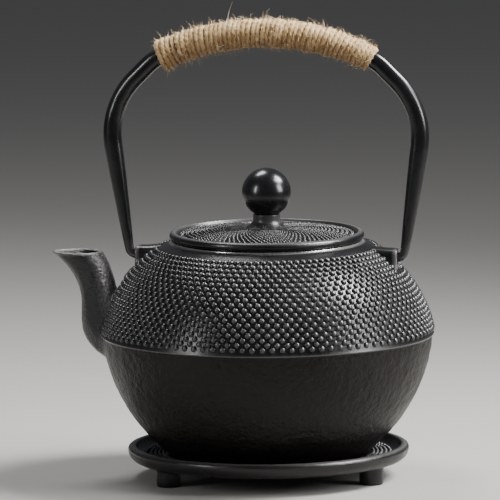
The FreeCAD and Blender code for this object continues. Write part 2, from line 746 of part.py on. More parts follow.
def export():
    os.makedirs("parts", exist_ok=True)
    for piece in subparts:
        piece.Shape.exportStep("parts/%s.step" % piece.Label)
        print("%-20s %10.1f mm3" % (piece.Label, piece.Shape.Volume))


build()
check()
export()
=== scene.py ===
import math
import random

import bpy
import numpy as np
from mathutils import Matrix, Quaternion, Vector, noise
from mathutils.bvhtree import BVHTree


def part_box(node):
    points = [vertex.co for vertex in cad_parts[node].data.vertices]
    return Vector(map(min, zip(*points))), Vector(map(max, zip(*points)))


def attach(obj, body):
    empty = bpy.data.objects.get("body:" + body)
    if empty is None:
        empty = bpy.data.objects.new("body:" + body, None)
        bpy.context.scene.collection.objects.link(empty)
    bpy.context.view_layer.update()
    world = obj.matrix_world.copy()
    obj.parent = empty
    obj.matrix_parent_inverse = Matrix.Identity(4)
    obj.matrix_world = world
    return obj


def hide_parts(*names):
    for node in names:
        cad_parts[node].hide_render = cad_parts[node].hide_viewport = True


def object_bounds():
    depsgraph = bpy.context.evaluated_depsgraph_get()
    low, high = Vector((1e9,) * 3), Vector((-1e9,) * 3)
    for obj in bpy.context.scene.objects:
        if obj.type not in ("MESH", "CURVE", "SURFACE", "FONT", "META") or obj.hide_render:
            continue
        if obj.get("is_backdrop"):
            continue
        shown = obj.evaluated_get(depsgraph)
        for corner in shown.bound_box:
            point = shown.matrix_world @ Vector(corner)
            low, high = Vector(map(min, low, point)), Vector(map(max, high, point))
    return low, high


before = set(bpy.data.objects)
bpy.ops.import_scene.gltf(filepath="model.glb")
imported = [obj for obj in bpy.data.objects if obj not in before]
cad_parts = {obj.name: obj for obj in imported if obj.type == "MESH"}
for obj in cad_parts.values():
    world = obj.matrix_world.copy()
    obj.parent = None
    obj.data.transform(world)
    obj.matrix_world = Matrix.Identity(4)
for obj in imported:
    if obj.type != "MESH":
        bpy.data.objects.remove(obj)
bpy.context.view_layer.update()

# ---------------------------------------------------------------- camera
# A long lens, a little above the lid, a few degrees round from square to the spout.
CAMERA_TURN, CAMERA_RISE, CAMERA_ROLL = (math.radians(angle) for angle in (9.0, 7.85, 0.5))
CAMERA_AWAY = 5.2
VIEW_WIDTH = 0.2485
AIM_HEIGHT, AIM_LEFT = 0.1138, 0.0084

right_way = Vector((math.cos(CAMERA_TURN), math.sin(CAMERA_TURN), 0))
back_way = Vector((math.sin(CAMERA_TURN) * math.cos(CAMERA_RISE),
                   -math.cos(CAMERA_TURN) * math.cos(CAMERA_RISE), math.sin(CAMERA_RISE)))
aim = Vector((0, 0, AIM_HEIGHT)) - right_way * AIM_LEFT
camera = bpy.data.objects.new("camera", bpy.data.cameras.new("camera"))
bpy.context.scene.collection.objects.link(camera)
camera.location = aim + back_way * CAMERA_AWAY
camera.rotation_mode = "QUATERNION"
camera.rotation_quaternion = (Quaternion(back_way, -CAMERA_ROLL)
                              @ back_way.to_track_quat("Z", "Y"))
camera.data.lens = camera.data.sensor_width * CAMERA_AWAY / VIEW_WIDTH
camera.data.clip_end = 60
bpy.context.scene.camera = camera

# ---------------------------------------------------------------- pot casting
# The pot is one iron casting, poured in a sand mould: a smooth neck band, a hobnailed shoulder
# that ends in a raised edge, and a rough lower body.  It is finished with black iron enamel.
# All sizes are in millimetres; MM turns them into metres.
MM = 0.001
foot_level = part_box("pot_body")[0].z / MM
BASE, BELLY, BELLY_HEIGHT, EDGE = 48.7, 82.2, 59.7, 0.6
NECK, NECK_HEIGHT, MOUTH, POT_HEIGHT = 54.0, 103.2, 47.2, 106.5
FLANK_ARC, SHOULDER_ARC, WALL, FLOOR = 84.0, 68.0, 3.0, 4.0
SHELL = BELLY + EDGE
SEAT, SEAT_LEVEL, THROAT, THROAT_LEVEL = 44.2, 105.0, 41.2, 102.0
UNDER_THROAT = (52.5, 100.2)
POT_SEGMENTS, SHARP_ANGLE, SMOOTH_EDGE = 432, math.radians(50), 0.9


def arc(start, end, radius, side, count):
    """Points after start up to end on an arc; side +1 turns counter-clockwise."""
    half = np.subtract(end, start) / 2
    chord = half @ half
    off = math.sqrt(radius * radius / chord - 1) * side
    middle = np.add(start, half) + off * np.array((-half[1], half[0]))
    first = math.atan2(start[1] - middle[1], start[0] - middle[0])
    last = math.atan2(end[1] - middle[1], end[0] - middle[0])
    turn = (last - first) % (2 * math.pi) if side > 0 else -((first - last) % (2 * math.pi))
    return [(middle[0] + radius * math.cos(first + turn * step / count),
             middle[1] + radius * math.sin(first + turn * step / count))
            for step in range(1, count + 1)]


def line(start, end, count):
    """Points after start up to end on a straight line."""
    return [tuple(np.array(start) + (np.array(end) - start) * step / count)
            for step in range(1, count + 1)]


def rounded(before, corner, after, radius, count=3):
    """Points that round a corner off between its two neighbours."""
    before, corner, after = (np.array(place, float) for place in (before, corner, after))
    back, forth = before - corner, after - corner
    back, forth = back / np.linalg.norm(back), forth / np.linalg.norm(forth)
    half = math.acos(max(-1, min(1, back @ forth))) / 2
    reach = radius / math.tan(half)
    start, end = corner + back * reach, corner + forth * reach
    cross = back[0] * forth[1] - back[1] * forth[0]
    return [tuple(start)] + arc(tuple(start), tuple(end), radius, -1 if cross > 0 else 1, count)


def make_piece(name, points, faces, body, material, marks=None, stands_for=()):
    """A smooth mesh piece on its body; marks are values stored for the material to read."""
    mesh = bpy.data.meshes.new(name)
    mesh.from_pydata([tuple(point) for point in points], [], faces)
    mesh.validate()
    mesh.shade_smooth()
    for mark, values in (marks or {}).items():
        layer = mesh.attributes.new(mark, "FLOAT", "POINT")
        layer.data.foreach_set("value", np.asarray(values, np.float32))
    mesh.set_sharp_from_angle(angle=SHARP_ANGLE)
    piece = bpy.data.objects.new(name, mesh)
    bpy.context.scene.collection.objects.link(piece)
    if material is not None:
        mesh.materials.append(material)
    if body is not None:
        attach(piece, body)
        if stands_for:
            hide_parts(*stands_for)
    return piece


def turned(profile, segments, closed=False):
    """Points and faces of a profile (radius, height) turned about the axis, in metres."""
    angles = np.linspace(0, 2 * math.pi, segments, endpoint=False)
    points, rows = [], []
    for radius, height in profile:
        if radius == 0:
            rows.append([len(points)] * segments)
            points.append((0.0, 0.0, height * MM))
            continue
        start = len(points)
        rows.append(list(range(start, start + segments)))
        points.extend(zip(radius * MM * np.cos(angles), radius * MM * np.sin(angles),
                          np.full(segments, height * MM)))
    faces = []
    count = len(rows)
    for number in range(count if closed else count - 1):
        low, high = rows[number], rows[(number + 1) % count]
        for step in range(segments):
            after = (step + 1) % segments
            face = [low[step], low[after], high[after], high[step]]
            face = [place for index, place in enumerate(face) if place != face[index - 1]]
            if len(face) > 2:
                faces.append(face)
    return points, faces


def new_material(name, color, roughness, specular=0.5, metallic=0.0):
    """A material with its node tree and its shader, set to plain values."""
    material = bpy.data.materials.new(name)
    material.use_nodes = True
    shader = material.node_tree.nodes["Principled BSDF"]
    shader.inputs["Base Color"].default_value = (*color, 1)
    shader.inputs["Roughness"].default_value = roughness
    shader.inputs["Specular IOR Level"].default_value = specular
    shader.inputs["Metallic"].default_value = metallic
    return material, material.node_tree, shader


def node(tree, kind, settings=None, **values):
    """A node with its settings, and its inputs set or linked by name."""
    made = tree.nodes.new(kind)
    for key, value in (settings or {}).items():
        setattr(made, key, value)
    for key, value in values.items():
        socket = made.inputs[int(key[2:])] if key.startswith("in") and key[2:].isdigit() \
            else made.inputs[key.replace("_", " ")]
        if isinstance(value, bpy.types.NodeSocket):
            tree.links.new(value, socket)
        else:
            socket.default_value = value
    return made


def mix_colors(tree, share, low, high, blend="MIX"):
    """The colour between low and high, which are colours or sockets."""
    low, high = (color if isinstance(color, bpy.types.NodeSocket) else (*color, 1)
                 for color in (low, high))
    return node(tree, "ShaderNodeMix", {"data_type": "RGBA", "blend_type": blend},
                in0=share, in6=low, in7=high).outputs[2]


def noise_texture(tree, scale, detail, roughness=0.5, at=None):
    """Noise over the piece itself, or over the coordinates at."""
    if at is None:
        at = node(tree, "ShaderNodeTexCoord").outputs["Object"]
    return node(tree, "ShaderNodeTexNoise", Vector=at, Scale=scale, Detail=detail,
                Roughness=roughness).outputs["Fac"]


def new_group(name, inputs, outputs):
    """A shader node group with named float inputs, and its inner input and output nodes."""
    group = bpy.data.node_groups.new(name, "ShaderNodeTree")
    for label, value in inputs:
        socket = group.interface.new_socket(label, in_out="INPUT", socket_type="NodeSocketFloat")
        socket.default_value = value
    for label in outputs:
        group.interface.new_socket(label, in_out="OUTPUT", socket_type="NodeSocketFloat")
    return group, group.nodes.new("NodeGroupInput"), group.nodes.new("NodeGroupOutput")


def place_group(tree, group, **values):
    return node(tree, "ShaderNodeGroup", {"node_tree": group}, **values)


# Sand-cast grain: soft lumps, fine grit and a slow tone change, as heights and masks.
cast_grain, grain_in, grain_out = new_group(
    "Cast grain", [("Lump", 400.0), ("Grit", 1500.0), ("Grit share", 0.4)],
    ["Height", "Tone", "Speck"])
where = node(cast_grain, "ShaderNodeTexCoord").outputs["Object"]
lumps = noise_texture(cast_grain, grain_in.outputs["Lump"], 3.0, 0.55, where)
grit = noise_texture(cast_grain, grain_in.outputs["Grit"], 2.0, 0.6, where)
tone = noise_texture(cast_grain, 38.0, 4.0, 0.6, where)
height = node(cast_grain, "ShaderNodeMix", {"data_type": "FLOAT"},
              in0=grain_in.outputs["Grit share"], in2=lumps, in3=grit)
tone_range = node(cast_grain, "ShaderNodeMapRange", Value=tone, From_Min=0.35, From_Max=0.68)
speck = node(cast_grain, "ShaderNodeMapRange", Value=grit, From_Min=0.56, From_Max=0.7)
for label, source in (("Height", height.outputs[0]), ("Tone", tone_range.outputs[0]),
                      ("Speck", speck.outputs[0])):
    cast_grain.links.new(source, grain_out.inputs[label])

# Wear and sheen: where handling has rubbed the enamel thin, and painted highlights where the
# spout's crest and the pot's edges are made pale and metallic, from the piece's own mark and
# noise.
wear_and_sheen, wear_sheen_in, wear_sheen_out = new_group("Wear_and_sheen", [("Spread", 0.5)], ["Mask"])
mark = node(wear_and_sheen, "ShaderNodeAttribute", {"attribute_name": "wear_and_sheen"})
mark_patches = noise_texture(wear_and_sheen, 260.0, 3.0)
weak = node(wear_and_sheen, "ShaderNodeMath", {"operation": "MULTIPLY"},
            in0=mark.outputs["Fac"], in1=mark_patches)
strong = node(wear_and_sheen, "ShaderNodeMix", {"data_type": "FLOAT"},
              in0=wear_sheen_in.outputs["Spread"], in2=weak.outputs[0], in3=mark.outputs["Fac"])
wear_and_sheen.links.new(strong.outputs[0], wear_sheen_out.inputs["Mask"])


def iron_finish(name, color, worn_and_sheen, roughness, bump, lump=420.0, grit=1600.0, share=0.45,
                spread=0.5, rough_range=0.14, coat=0.0, specular=0.42):
    """Black iron with cast grain: colours, roughness and bump all vary with the grain."""
    material, tree, shader = new_material(name, color, roughness, specular)
    shader.inputs["Coat Weight"].default_value = coat
    shader.inputs["Coat Roughness"].default_value = 0.12
    grain = place_group(tree, cast_grain, Lump=lump, Grit=grit, Grit_share=share)
    rub_and_sheen = place_group(tree, wear_and_sheen, Spread=spread)
    paler, fleck = ([gain * part + lift for part in color]
                    for gain, lift in ((1.9, 0.0006), (3.5, 0.001)))
    dark = mix_colors(tree, grain.outputs["Tone"], color, paler)
    flecked = mix_colors(tree, grain.outputs["Speck"], dark, fleck)
    # Where the mark is set the colour turns pale and metallic: wear, and painted highlight where
    # the mark is a sheen.
    rubbed_and_sheened = mix_colors(tree, rub_and_sheen.outputs["Mask"], flecked, worn_and_sheen)
    tree.links.new(rubbed_and_sheened, shader.inputs["Base Color"])
    tree.links.new(rub_and_sheen.outputs["Mask"], shader.inputs["Metallic"])
    dull = node(tree, "ShaderNodeMapRange", Value=grain.outputs["Tone"],
                To_Min=roughness - rough_range / 2, To_Max=roughness + rough_range / 2)
    gloss = node(tree, "ShaderNodeMath", {"operation": "MULTIPLY_ADD"},
                 in0=rub_and_sheen.outputs["Mask"], in1=-0.1, in2=dull.outputs[0])
    tree.links.new(gloss.outputs[0], shader.inputs["Roughness"])
    relief = node(tree, "ShaderNodeBump", Strength=1.0, Distance=bump * MM,
                  Height=grain.outputs["Height"])
    tree.links.new(relief.outputs[0], shader.inputs["Normal"])
    return material


BLACK_IRON, WORN_AND_SHEEN_IRON = (0.0026, 0.0026, 0.003), (0.44, 0.43, 0.415)
shoulder_iron = iron_finish("shoulder_iron", BLACK_IRON, WORN_AND_SHEEN_IRON, 0.3, 0.09)
flank_iron = iron_finish("flank_iron", (0.0034, 0.0026, 0.0022), (0.16, 0.15, 0.14), 0.4,
                         1.1, lump=360.0, grit=1150.0, share=0.3, rough_range=0.16,
                         specular=0.2)
inside_iron = iron_finish("inside_iron", (0.02, 0.019, 0.019), WORN_AND_SHEEN_IRON, 0.55, 0.2)

shoulder_line = [(SHELL, BELLY_HEIGHT + 0.55)] + arc(
    (SHELL, BELLY_HEIGHT + 0.55), (NECK, NECK_HEIGHT), SHOULDER_ARC, 1, 44)
flank_line = arc((BASE, 0.0), (BELLY, BELLY_HEIGHT), FLANK_ARC, 1, 60)
outside = (
    [(0.0, 1.5), (20.0, 1.5), (41.0, 1.5), (42.3, 0.3), (42.9, 0.0)]
    + rounded((42.7, 0), (BASE, 0), flank_line[2], 0.9) + flank_line[1:-1]
    + [(BELLY, BELLY_HEIGHT - 0.75), (BELLY + 0.12, BELLY_HEIGHT - 0.55),
       (SHELL - 0.05, BELLY_HEIGHT - 0.3), (SHELL + 0.12, BELLY_HEIGHT + 0.05),
       (SHELL + 0.08, BELLY_HEIGHT + 0.38)]
    + shoulder_line[:-1]
    + rounded(shoulder_line[-3], (NECK, NECK_HEIGHT), (MOUTH, POT_HEIGHT), 0.5)
    + line((NECK - 0.5, NECK_HEIGHT + 0.25), (MOUTH + 0.75, POT_HEIGHT - 0.62), 5)
    + [(MOUTH + 0.5, POT_HEIGHT - 0.56), (MOUTH + 0.42, POT_HEIGHT - 0.42)]
    + arc((MOUTH + 0.42, POT_HEIGHT - 0.38), (MOUTH - 0.1, POT_HEIGHT + 0.12), 0.52, 1, 6))
outside_rows = len(outside)
inside = (
    rounded((MOUTH, POT_HEIGHT), (SEAT, POT_HEIGHT), (SEAT, SEAT_LEVEL), 0.3, 2)
    + [(SEAT, SEAT_LEVEL + 0.1), (SEAT - 0.1, SEAT_LEVEL)]
    + rounded((SEAT, SEAT_LEVEL), (THROAT, SEAT_LEVEL), (THROAT, THROAT_LEVEL), 0.4, 2)
    + [(THROAT, THROAT_LEVEL + 0.1), (THROAT + 0.1, THROAT_LEVEL)]
    + line((THROAT + 0.1, THROAT_LEVEL), UNDER_THROAT, 4)
    + arc(UNDER_THROAT, (BELLY - WALL, BELLY_HEIGHT), SHOULDER_ARC - WALL, -1, 22)
    + arc((BELLY - WALL, BELLY_HEIGHT), (BASE, FLOOR), FLANK_ARC - WALL, -1, 26)
    + line((BASE, FLOOR), (4.0, FLOOR), 5) + [(0.0, FLOOR)])
profile = [(radius, height + foot_level) for radius, height in outside + inside]
pot_points, pot_faces = turned(profile, POT_SEGMENTS)
pot_points = np.array(pot_points)


def cast_wander(points, depth, size, seed):
    """Small uneven heights for a cast surface, one for each point, in metres."""
    shift = Vector((seed, 0, 0))
    return np.array([noise.noise(Vector(point) / size + shift) for point in points]) * depth


# Without a fixed seed, noise_vector starts from the time of day.
noise.seed_set(7)


def uneven(points, depth, size):
    """Small moves that take the machine-made look off a cast surface, one for each point."""
    return depth * np.array([noise.noise_vector(Vector(point) / size) for point in points])


heights = pot_points[:, 2] / MM - foot_level
radii = np.hypot(pot_points[:, 0], pot_points[:, 1])
first_inside = 1 + POT_SEGMENTS * (outside_rows - 1)
is_outside = np.arange(len(pot_points)) < first_inside
above_foot = is_outside & (heights > SMOOTH_EDGE)
push = np.where(above_foot & (heights < BELLY_HEIGHT - SMOOTH_EDGE),
                cast_wander(pot_points, 0.22 * MM, 4.5 * MM, 3.0)
                + cast_wander(pot_points, 0.20 * MM, 2.3 * MM, 9.0), 0.0)
push += np.where(above_foot, cast_wander(pot_points, 0.10 * MM, 34 * MM, 5.0), 0.0)
outward = np.divide(pot_points[:, :2], radii[:, None], out=np.zeros_like(pot_points[:, :2]),
                    where=radii[:, None] > 0)
pot_points[:, :2] += outward * push[:, None]
# The mouth's rim, where the lid rubs, is polished bare; it and the raised edge at the belly are
# also made pale and metallic as painted highlight lines.
edge_glow = np.exp(-((heights - BELLY_HEIGHT - 0.1) / 0.3) ** 2) * is_outside
rim_gap = (radii / MM - MOUTH - 0.3) ** 2 + (heights - POT_HEIGHT) ** 2
rim_glow = np.exp(-rim_gap / 0.6) * 1.2
pot = make_piece("pot_casting", pot_points, pot_faces, "pot", shoulder_iron,
                 {"wear_and_sheen": np.clip(edge_glow * 0.25 + rim_glow, 0, 1)}, ["pot_body"])
pot.data.materials.append(flank_iron)
pot.data.materials.append(inside_iron)
for face in pot.data.polygons:
    if min(face.vertices) >= first_inside:
        face.material_index = 2
    elif max(heights[index] for index in face.vertices) < BELLY_HEIGHT - 0.1:
        face.material_index = 1

# ---------------------------------------------------------------- spout
# The spout is cast in one with the pot: an egg-shaped tube that swells to the root, where it
# runs out into the belly in a small fillet.  Its lip is ground thin and rounded.
SPOUT_REACH, SPOUT_DROP, SPOUT_MOUTH, SPOUT_WIDTH, SPOUT_ROOT = 108.6, 6.7, 25.0, 20.0, 27.0
KEEL_DROP, CREST_RISE, SPOUT_WALL, BORE_GROWTH, EGG = 14.7, 15.4, 2.2, 1.4, 0.28
LIP_SLOPE, KEEL_SLOPE = math.radians(38.6), math.radians(30.7)
FILLET, BURIED_DEPTH, WIDENING, HIP = 2.6, 0.9, 1.5, 0.55
SPOUT_ROWS, SPOUT_ROUND, BORE_ROUND = 120, 108, 48
# Two soft hips down each side and the flat between them: angle from the keel, its shift towards
# the root, width, and height as a share of HIP.
SPOUT_HIPS = ((0.80, 0.35, 0.22, 1.0), (2.25, 0.0, 0.26, 0.9), (1.62, 0.0, 0.36, -0.7))


def arc_middle(start, end, radius):
    """The centre of an arc that turns counter-clockwise from start to end."""
    half = np.subtract(end, start) / 2
    off = math.sqrt(radius * radius / (half @ half) - 1)
    return np.add(start, half) + off * np.array((-half[1], half[0]))


flank_centre = arc_middle((BASE, 0), (BELLY, BELLY_HEIGHT), FLANK_ARC)
shoulder_centre = arc_middle((SHELL, BELLY_HEIGHT), (NECK, NECK_HEIGHT), SHOULDER_ARC)


def skin_gap(points):
    """Distance outside the pot's skin, and the skin's outward direction, at points in mm."""
    radius = np.hypot(points[:, 0], points[:, 1])
    low = points[:, 2] < BELLY_HEIGHT
    centre = np.where(low[:, None], flank_centre, shoulder_centre)
    away = np.stack([radius - centre[:, 0], points[:, 2] - centre[:, 1]], 1)
    length = np.linalg.norm(away, axis=1)
    gap = length - np.where(low, FLANK_ARC, SHOULDER_ARC)
    away /= length[:, None]
    way = np.stack([away[:, 0] * points[:, 0] / radius, away[:, 0] * points[:, 1] / radius,
                    away[:, 1]], 1)
    return gap, way


def bezier(poles, share):
    """A point on the curve that the poles draw."""
    poles = [np.array(pole, float) for pole in poles]
    while len(poles) > 1:
        poles = [first + (after - first) * share for first, after in zip(poles, poles[1:])]
    return poles[0]


mouth_level = POT_HEIGHT - SPOUT_DROP
lip = np.array((-SPOUT_REACH, mouth_level))
heel = np.array((SPOUT_MOUTH - SPOUT_REACH, mouth_level))
keel_level = BELLY_HEIGHT - KEEL_DROP
flank_end = np.array((-flank_centre[0] - math.sqrt(
    FLANK_ARC ** 2 - (keel_level - flank_centre[1]) ** 2), keel_level))
crest_level = BELLY_HEIGHT + CREST_RISE
buried = np.array((BURIED_DEPTH * WALL - shoulder_centre[0] - math.sqrt(
    SHOULDER_ARC ** 2 - (crest_level - shoulder_centre[1]) ** 2), crest_level))
run = np.linalg.norm(lip - flank_end)
keel_poles = [lip, lip + 0.63 * run * np.array((math.cos(LIP_SLOPE), -math.sin(LIP_SLOPE))),
              flank_end - 0.55 * run * np.array((math.cos(KEEL_SLOPE), -math.sin(KEEL_SLOPE))),
              flank_end]
crest_poles = [heel, (buried[0] + 0.35 * (heel[0] - buried[0]),
                      buried[1] + 0.73 * (heel[1] - buried[1])), buried]


def from_keel(turn):
    """The angle round the spout's section, counted from its keel to either side."""
    return np.minimum(turn, 2 * math.pi - turn)


def spout_ring(share, inset, count=SPOUT_ROUND, lift=0.0, ridge=0.0):
    """Points round one section of the spout, in mm from the pot's foot."""
    keel, crest = bezier(keel_poles, share), bezier(crest_poles, share)
    middle, across = (keel + crest) / 2, crest - keel
    length = np.linalg.norm(across)
    along = across / length
    half_width = SPOUT_WIDTH / 2 + (SPOUT_ROOT - SPOUT_WIDTH) / 2 * max(share, 0) ** WIDENING
    turn = np.linspace(0, 2 * math.pi, count, endpoint=False)
    reach = (length / 2 - inset) * np.cos(turn)
    side = (half_width - inset) * np.sin(turn) * (1 - EGG * np.cos(turn))
    if ridge:
        swell = sum(height * np.exp(-((from_keel(turn) - place - shift * share) / width) ** 2)
                    for place, shift, width, height in SPOUT_HIPS)
        grow = 1 + ridge * swell * min(1, 0.25 + 3.0 * share) / half_width
        side, reach = side * grow, reach * grow
    return np.stack([middle[0] - along[0] * reach, side,
                     middle[1] - along[1] * reach + lift], 1)


def kept_buried(ring):
    """No part of the spout goes more than a little way under the pot's skin."""
    gap, way = skin_gap(ring)
    return ring - way * np.clip(gap + BURIED_DEPTH, None, 0)[:, None]


rings, burns = [], []
for share in np.linspace(0.035, 1.0, SPOUT_ROWS)[::-1]:
    ring = spout_ring(share, 0.0, ridge=HIP)
    gap, way = skin_gap(ring)
    near = np.clip((FILLET - gap) / FILLET, 0, 1)
    flare = FILLET * (1 - np.sqrt(np.clip(1 - near ** 2, 0, 1)))
    centre = ring.mean(0)
    outwards = ring - centre
    outwards -= (outwards * way).sum(1)[:, None] * way
    outwards /= np.linalg.norm(outwards, axis=1)[:, None]
    rings.append(kept_buried(ring + outwards * flare[:, None]))
    burns.append(np.zeros(SPOUT_ROUND))
for inset, lift, burn in ((0.34, -0.62, 0.3), (0.62, -0.26, 0.8), (1.0, -0.05, 1.0),
                          (1.45, 0.0, 0.9), (1.85, -0.2, 0.6), (2.15, -0.7, 0.2)):
    rings.append(spout_ring(0.0, inset, lift=lift))
    burns.append(np.full(SPOUT_ROUND, burn))
for share in np.linspace(0.03, 1.0, SPOUT_ROWS // 2):
    rings.append(kept_buried(spout_ring(share, SPOUT_WALL * (1 + BORE_GROWTH * share))))
    burns.append(np.zeros(SPOUT_ROUND))


def skin_faces(ring_count, round_count, closed):
    """Faces between rings of points; closed joins the last ring to the first."""
    faces = []
    for number in range(ring_count if closed else ring_count - 1):
        here, after = number * round_count, ((number + 1) % ring_count) * round_count
        for step in range(round_count):
            side = (step + 1) % round_count
            faces.append((here + step, here + side, after + side, after + step))
    return faces


def bar_faces(ring_count, round_count):
    """Faces of a tube of rings with both ends closed."""
    total = ring_count * round_count
    return skin_faces(ring_count, round_count, False) + [
        list(range(round_count - 1, -1, -1)), list(range(total - round_count, total))]


spout_points = np.concatenate(rings)
spout_points[:, 2] += foot_level
spout_points *= MM
spout_points += (uneven(spout_points, 0.09 * MM, 3.2 * MM)
                 + uneven(spout_points, 0.13 * MM, 1.5 * MM))
spout_iron = iron_finish("spout_iron", (0.0027, 0.0027, 0.0032), WORN_AND_SHEEN_IRON, 0.22, 1.3,
                         lump=720.0, grit=1600.0, share=0.3)
angles = np.tile(from_keel(np.linspace(0, 2 * math.pi, SPOUT_ROUND, endpoint=False)), len(rings))
keel_rub = 0.35 * np.exp(-(angles / 0.16) ** 2)
crest_noise = np.array([noise.noise(Vector(point) / (0.9 * MM)) for point in spout_points])
# Painted highlight: the crest along the top of the spout turns pale and metallic in speckled
# patches, a broad bright panel where the light falls on it.
crest_sheen = (0.34 * np.clip((angles - 1.75) / 0.55, 0, 1)
             * np.clip(0.72 + 0.8 * crest_noise, 0, 1))
outer_skin = np.arange(len(spout_points)) < SPOUT_ROWS * SPOUT_ROUND
# The lip and keel marks are wear; the crest mark is painted highlight.
spout_wear_and_sheen = np.clip(np.concatenate(burns) + (keel_rub + crest_sheen) * outer_skin, 0, 1)
make_piece("spout_casting", spout_points, skin_faces(len(rings), SPOUT_ROUND, True),
           "pot", spout_iron, {"wear_and_sheen": spout_wear_and_sheen}, ["spout"])

# The bore runs on through the pot's wall.
cutter_rings = [spout_ring(share, SPOUT_WALL * (1 + BORE_GROWTH * share), BORE_ROUND)
                for share in np.linspace(0.6, 1.08, 16)]
cutter_rings += [cutter_rings[-1] + np.array((shift, 0, 0)) for shift in (4.0, 9.0)]
cutter_points = np.concatenate(cutter_rings)
cutter_points[:, 2] += foot_level
cutter = make_piece("bore_cutter", cutter_points * MM, bar_faces(len(cutter_rings), BORE_ROUND),
                    None, None)
bore = pot.modifiers.new("bore", "BOOLEAN")
bore.operation, bore.object, bore.solver = "DIFFERENCE", cutter, "EXACT"
bpy.context.view_layer.update()
solved = bpy.context.evaluated_depsgraph_get()
opened = bpy.data.meshes.new_from_object(pot.evaluated_get(solved))
pot.modifiers.clear()
pot.data = opened
bpy.data.objects.remove(cutter)

# ---------------------------------------------------------------- hobnails
# Rows of round nails stand over the whole shoulder.  They are pressed one by one into the sand
# mould, each row half a step round from the last, so they differ a little in place and height.
NAIL_ROWS, NAILS_ROUND, FIRST_NAIL, LAST_NAIL = 19, 104, 1.4, 3.3
NAIL_RADIUS, NAIL_HEIGHT, WIDE_PITCH, CLOSE_PITCH = 1.66, 1.15, 2.95, 2.25
NAIL_SHAPE = ((1.10, -0.08), (0.96, 0.26), (0.74, 0.66), (0.40, 0.93))


def domes(places, outs, sizes, rises, sides, shape):
    """Points, faces and height marks of many small domes, each on its own direction."""
    places, outs = np.array(places), np.array(outs)
    outs = outs / np.linalg.norm(outs, axis=1)[:, None]
    helper = np.where(np.abs(outs[:, 2:]) < 0.9, (0.0, 0.0, 1.0), (1.0, 0.0, 0.0))
    first = np.cross(outs, helper)
    first /= np.linalg.norm(first, axis=1)[:, None]
    second = np.cross(outs, first)
    turn = np.linspace(0, 2 * math.pi, sides, endpoint=False)
    sizes, rises = np.array(sizes)[:, None, None], np.array(rises)[:, None, None]
    stack, marks = [], []
    for wide, high in shape:
        ring = (first[:, None] * np.cos(turn)[None, :, None]
                + second[:, None] * np.sin(turn)[None, :, None]) * sizes * wide
        stack.append(places[:, None] + ring + outs[:, None] * rises * high)
        marks.append(np.full((len(places), sides), max(0.0, high)))
    stack.append((places + outs * rises[:, 0])[:, None])
    marks.append(np.ones((len(places), 1)))
    points = np.concatenate(stack, 1)
    each = points.shape[1]
    pattern = []
    for level in range(len(shape) - 1):
        for step in range(sides):
            side = (step + 1) % sides
            pattern.append((level * sides + side, level * sides + step,
                            (level + 1) * sides + step, (level + 1) * sides + side))
    base = (len(shape) - 1) * sides
    pattern += [(base + (step + 1) % sides, base + step, each - 1) for step in range(sides)]
    faces = [tuple(number * each + index for index in face)
             for number in range(len(places)) for face in pattern]
    return points.reshape(-1, 3), faces, np.concatenate(marks, 1).reshape(-1)


def crown_rub(marks):
    """Only the very crowns of nails and studs are rubbed bright."""
    return {"wear_and_sheen": 0.3 * marks ** 6}


def tree_of(name):
    """A search tree over a CAD node, to keep the nails clear of it."""
    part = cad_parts[name]
    return BVHTree.FromPolygons([part.matrix_world @ point.co for point in part.data.vertices],
                                [face.vertices[:] for face in part.data.polygons])


# Each neighbour with the bare margin round it, and how deep inside it a nail is still left out.
neighbours = [(tree_of("spout"), 7.0, 14.0), (tree_of("lug_spout_side"), 1.3, 0.0),
              (tree_of("lug_back_side"), 1.3, 0.0)]
rng = random.Random(11)
first_angle = math.atan2(NECK_HEIGHT - shoulder_centre[1], NECK - shoulder_centre[0])
last_angle = math.atan2(BELLY_HEIGHT - shoulder_centre[1], SHELL - shoulder_centre[0])
arc_length = (first_angle - last_angle) * SHOULDER_ARC
steps = np.linspace(WIDE_PITCH, CLOSE_PITCH, NAIL_ROWS - 1)
steps *= (arc_length - FIRST_NAIL - LAST_NAIL) / steps.sum()
nail_places, nail_outs, nail_sizes, nail_rises = [], [], [], []
for row in range(NAIL_ROWS):
    along = FIRST_NAIL + steps[:row].sum()
    tilt = first_angle - along / SHOULDER_ARC
    for number in range(NAILS_ROUND):
        around = 2 * math.pi * (number + 0.5 * (row % 2)) / NAILS_ROUND
        around += rng.gauss(0, 0.0011)
        lean = tilt + rng.gauss(0, 0.0009)
        radius = shoulder_centre[0] + SHOULDER_ARC * math.cos(lean)
        height = shoulder_centre[1] + SHOULDER_ARC * math.sin(lean) + foot_level
        place = Vector((radius * math.cos(around), radius * math.sin(around), height)) * MM
        size = NAIL_RADIUS * rng.gauss(1, 0.03) * (0.97 if row in (0, NAIL_ROWS - 1) else 1)
        rise = NAIL_HEIGHT * rng.gauss(1, 0.05)
        clear = True
        for tree, margin, depth in neighbours:
            found, normal, index, distance = tree.find_nearest(place)
            behind = (place - found).dot(normal) < 0
            if distance < (max(margin, depth) if behind else margin) * MM:
                clear = False
        if clear:
            nail_places.append(place)
            nail_outs.append((math.cos(lean) * math.cos(around),
                              math.cos(lean) * math.sin(around), math.sin(lean)))
            nail_sizes.append(size * MM)
            nail_rises.append(rise * MM)
nail_points, nail_faces, nail_marks = domes(nail_places, nail_outs, nail_sizes, nail_rises,
                                            12, NAIL_SHAPE)
nail_iron = iron_finish("nail_iron", BLACK_IRON, WORN_AND_SHEEN_IRON, 0.22, 0.03, spread=0.12,
                        rough_range=0.1)
make_piece("hobnails", nail_points, nail_faces, "pot", nail_iron,
           crown_rub(nail_marks))

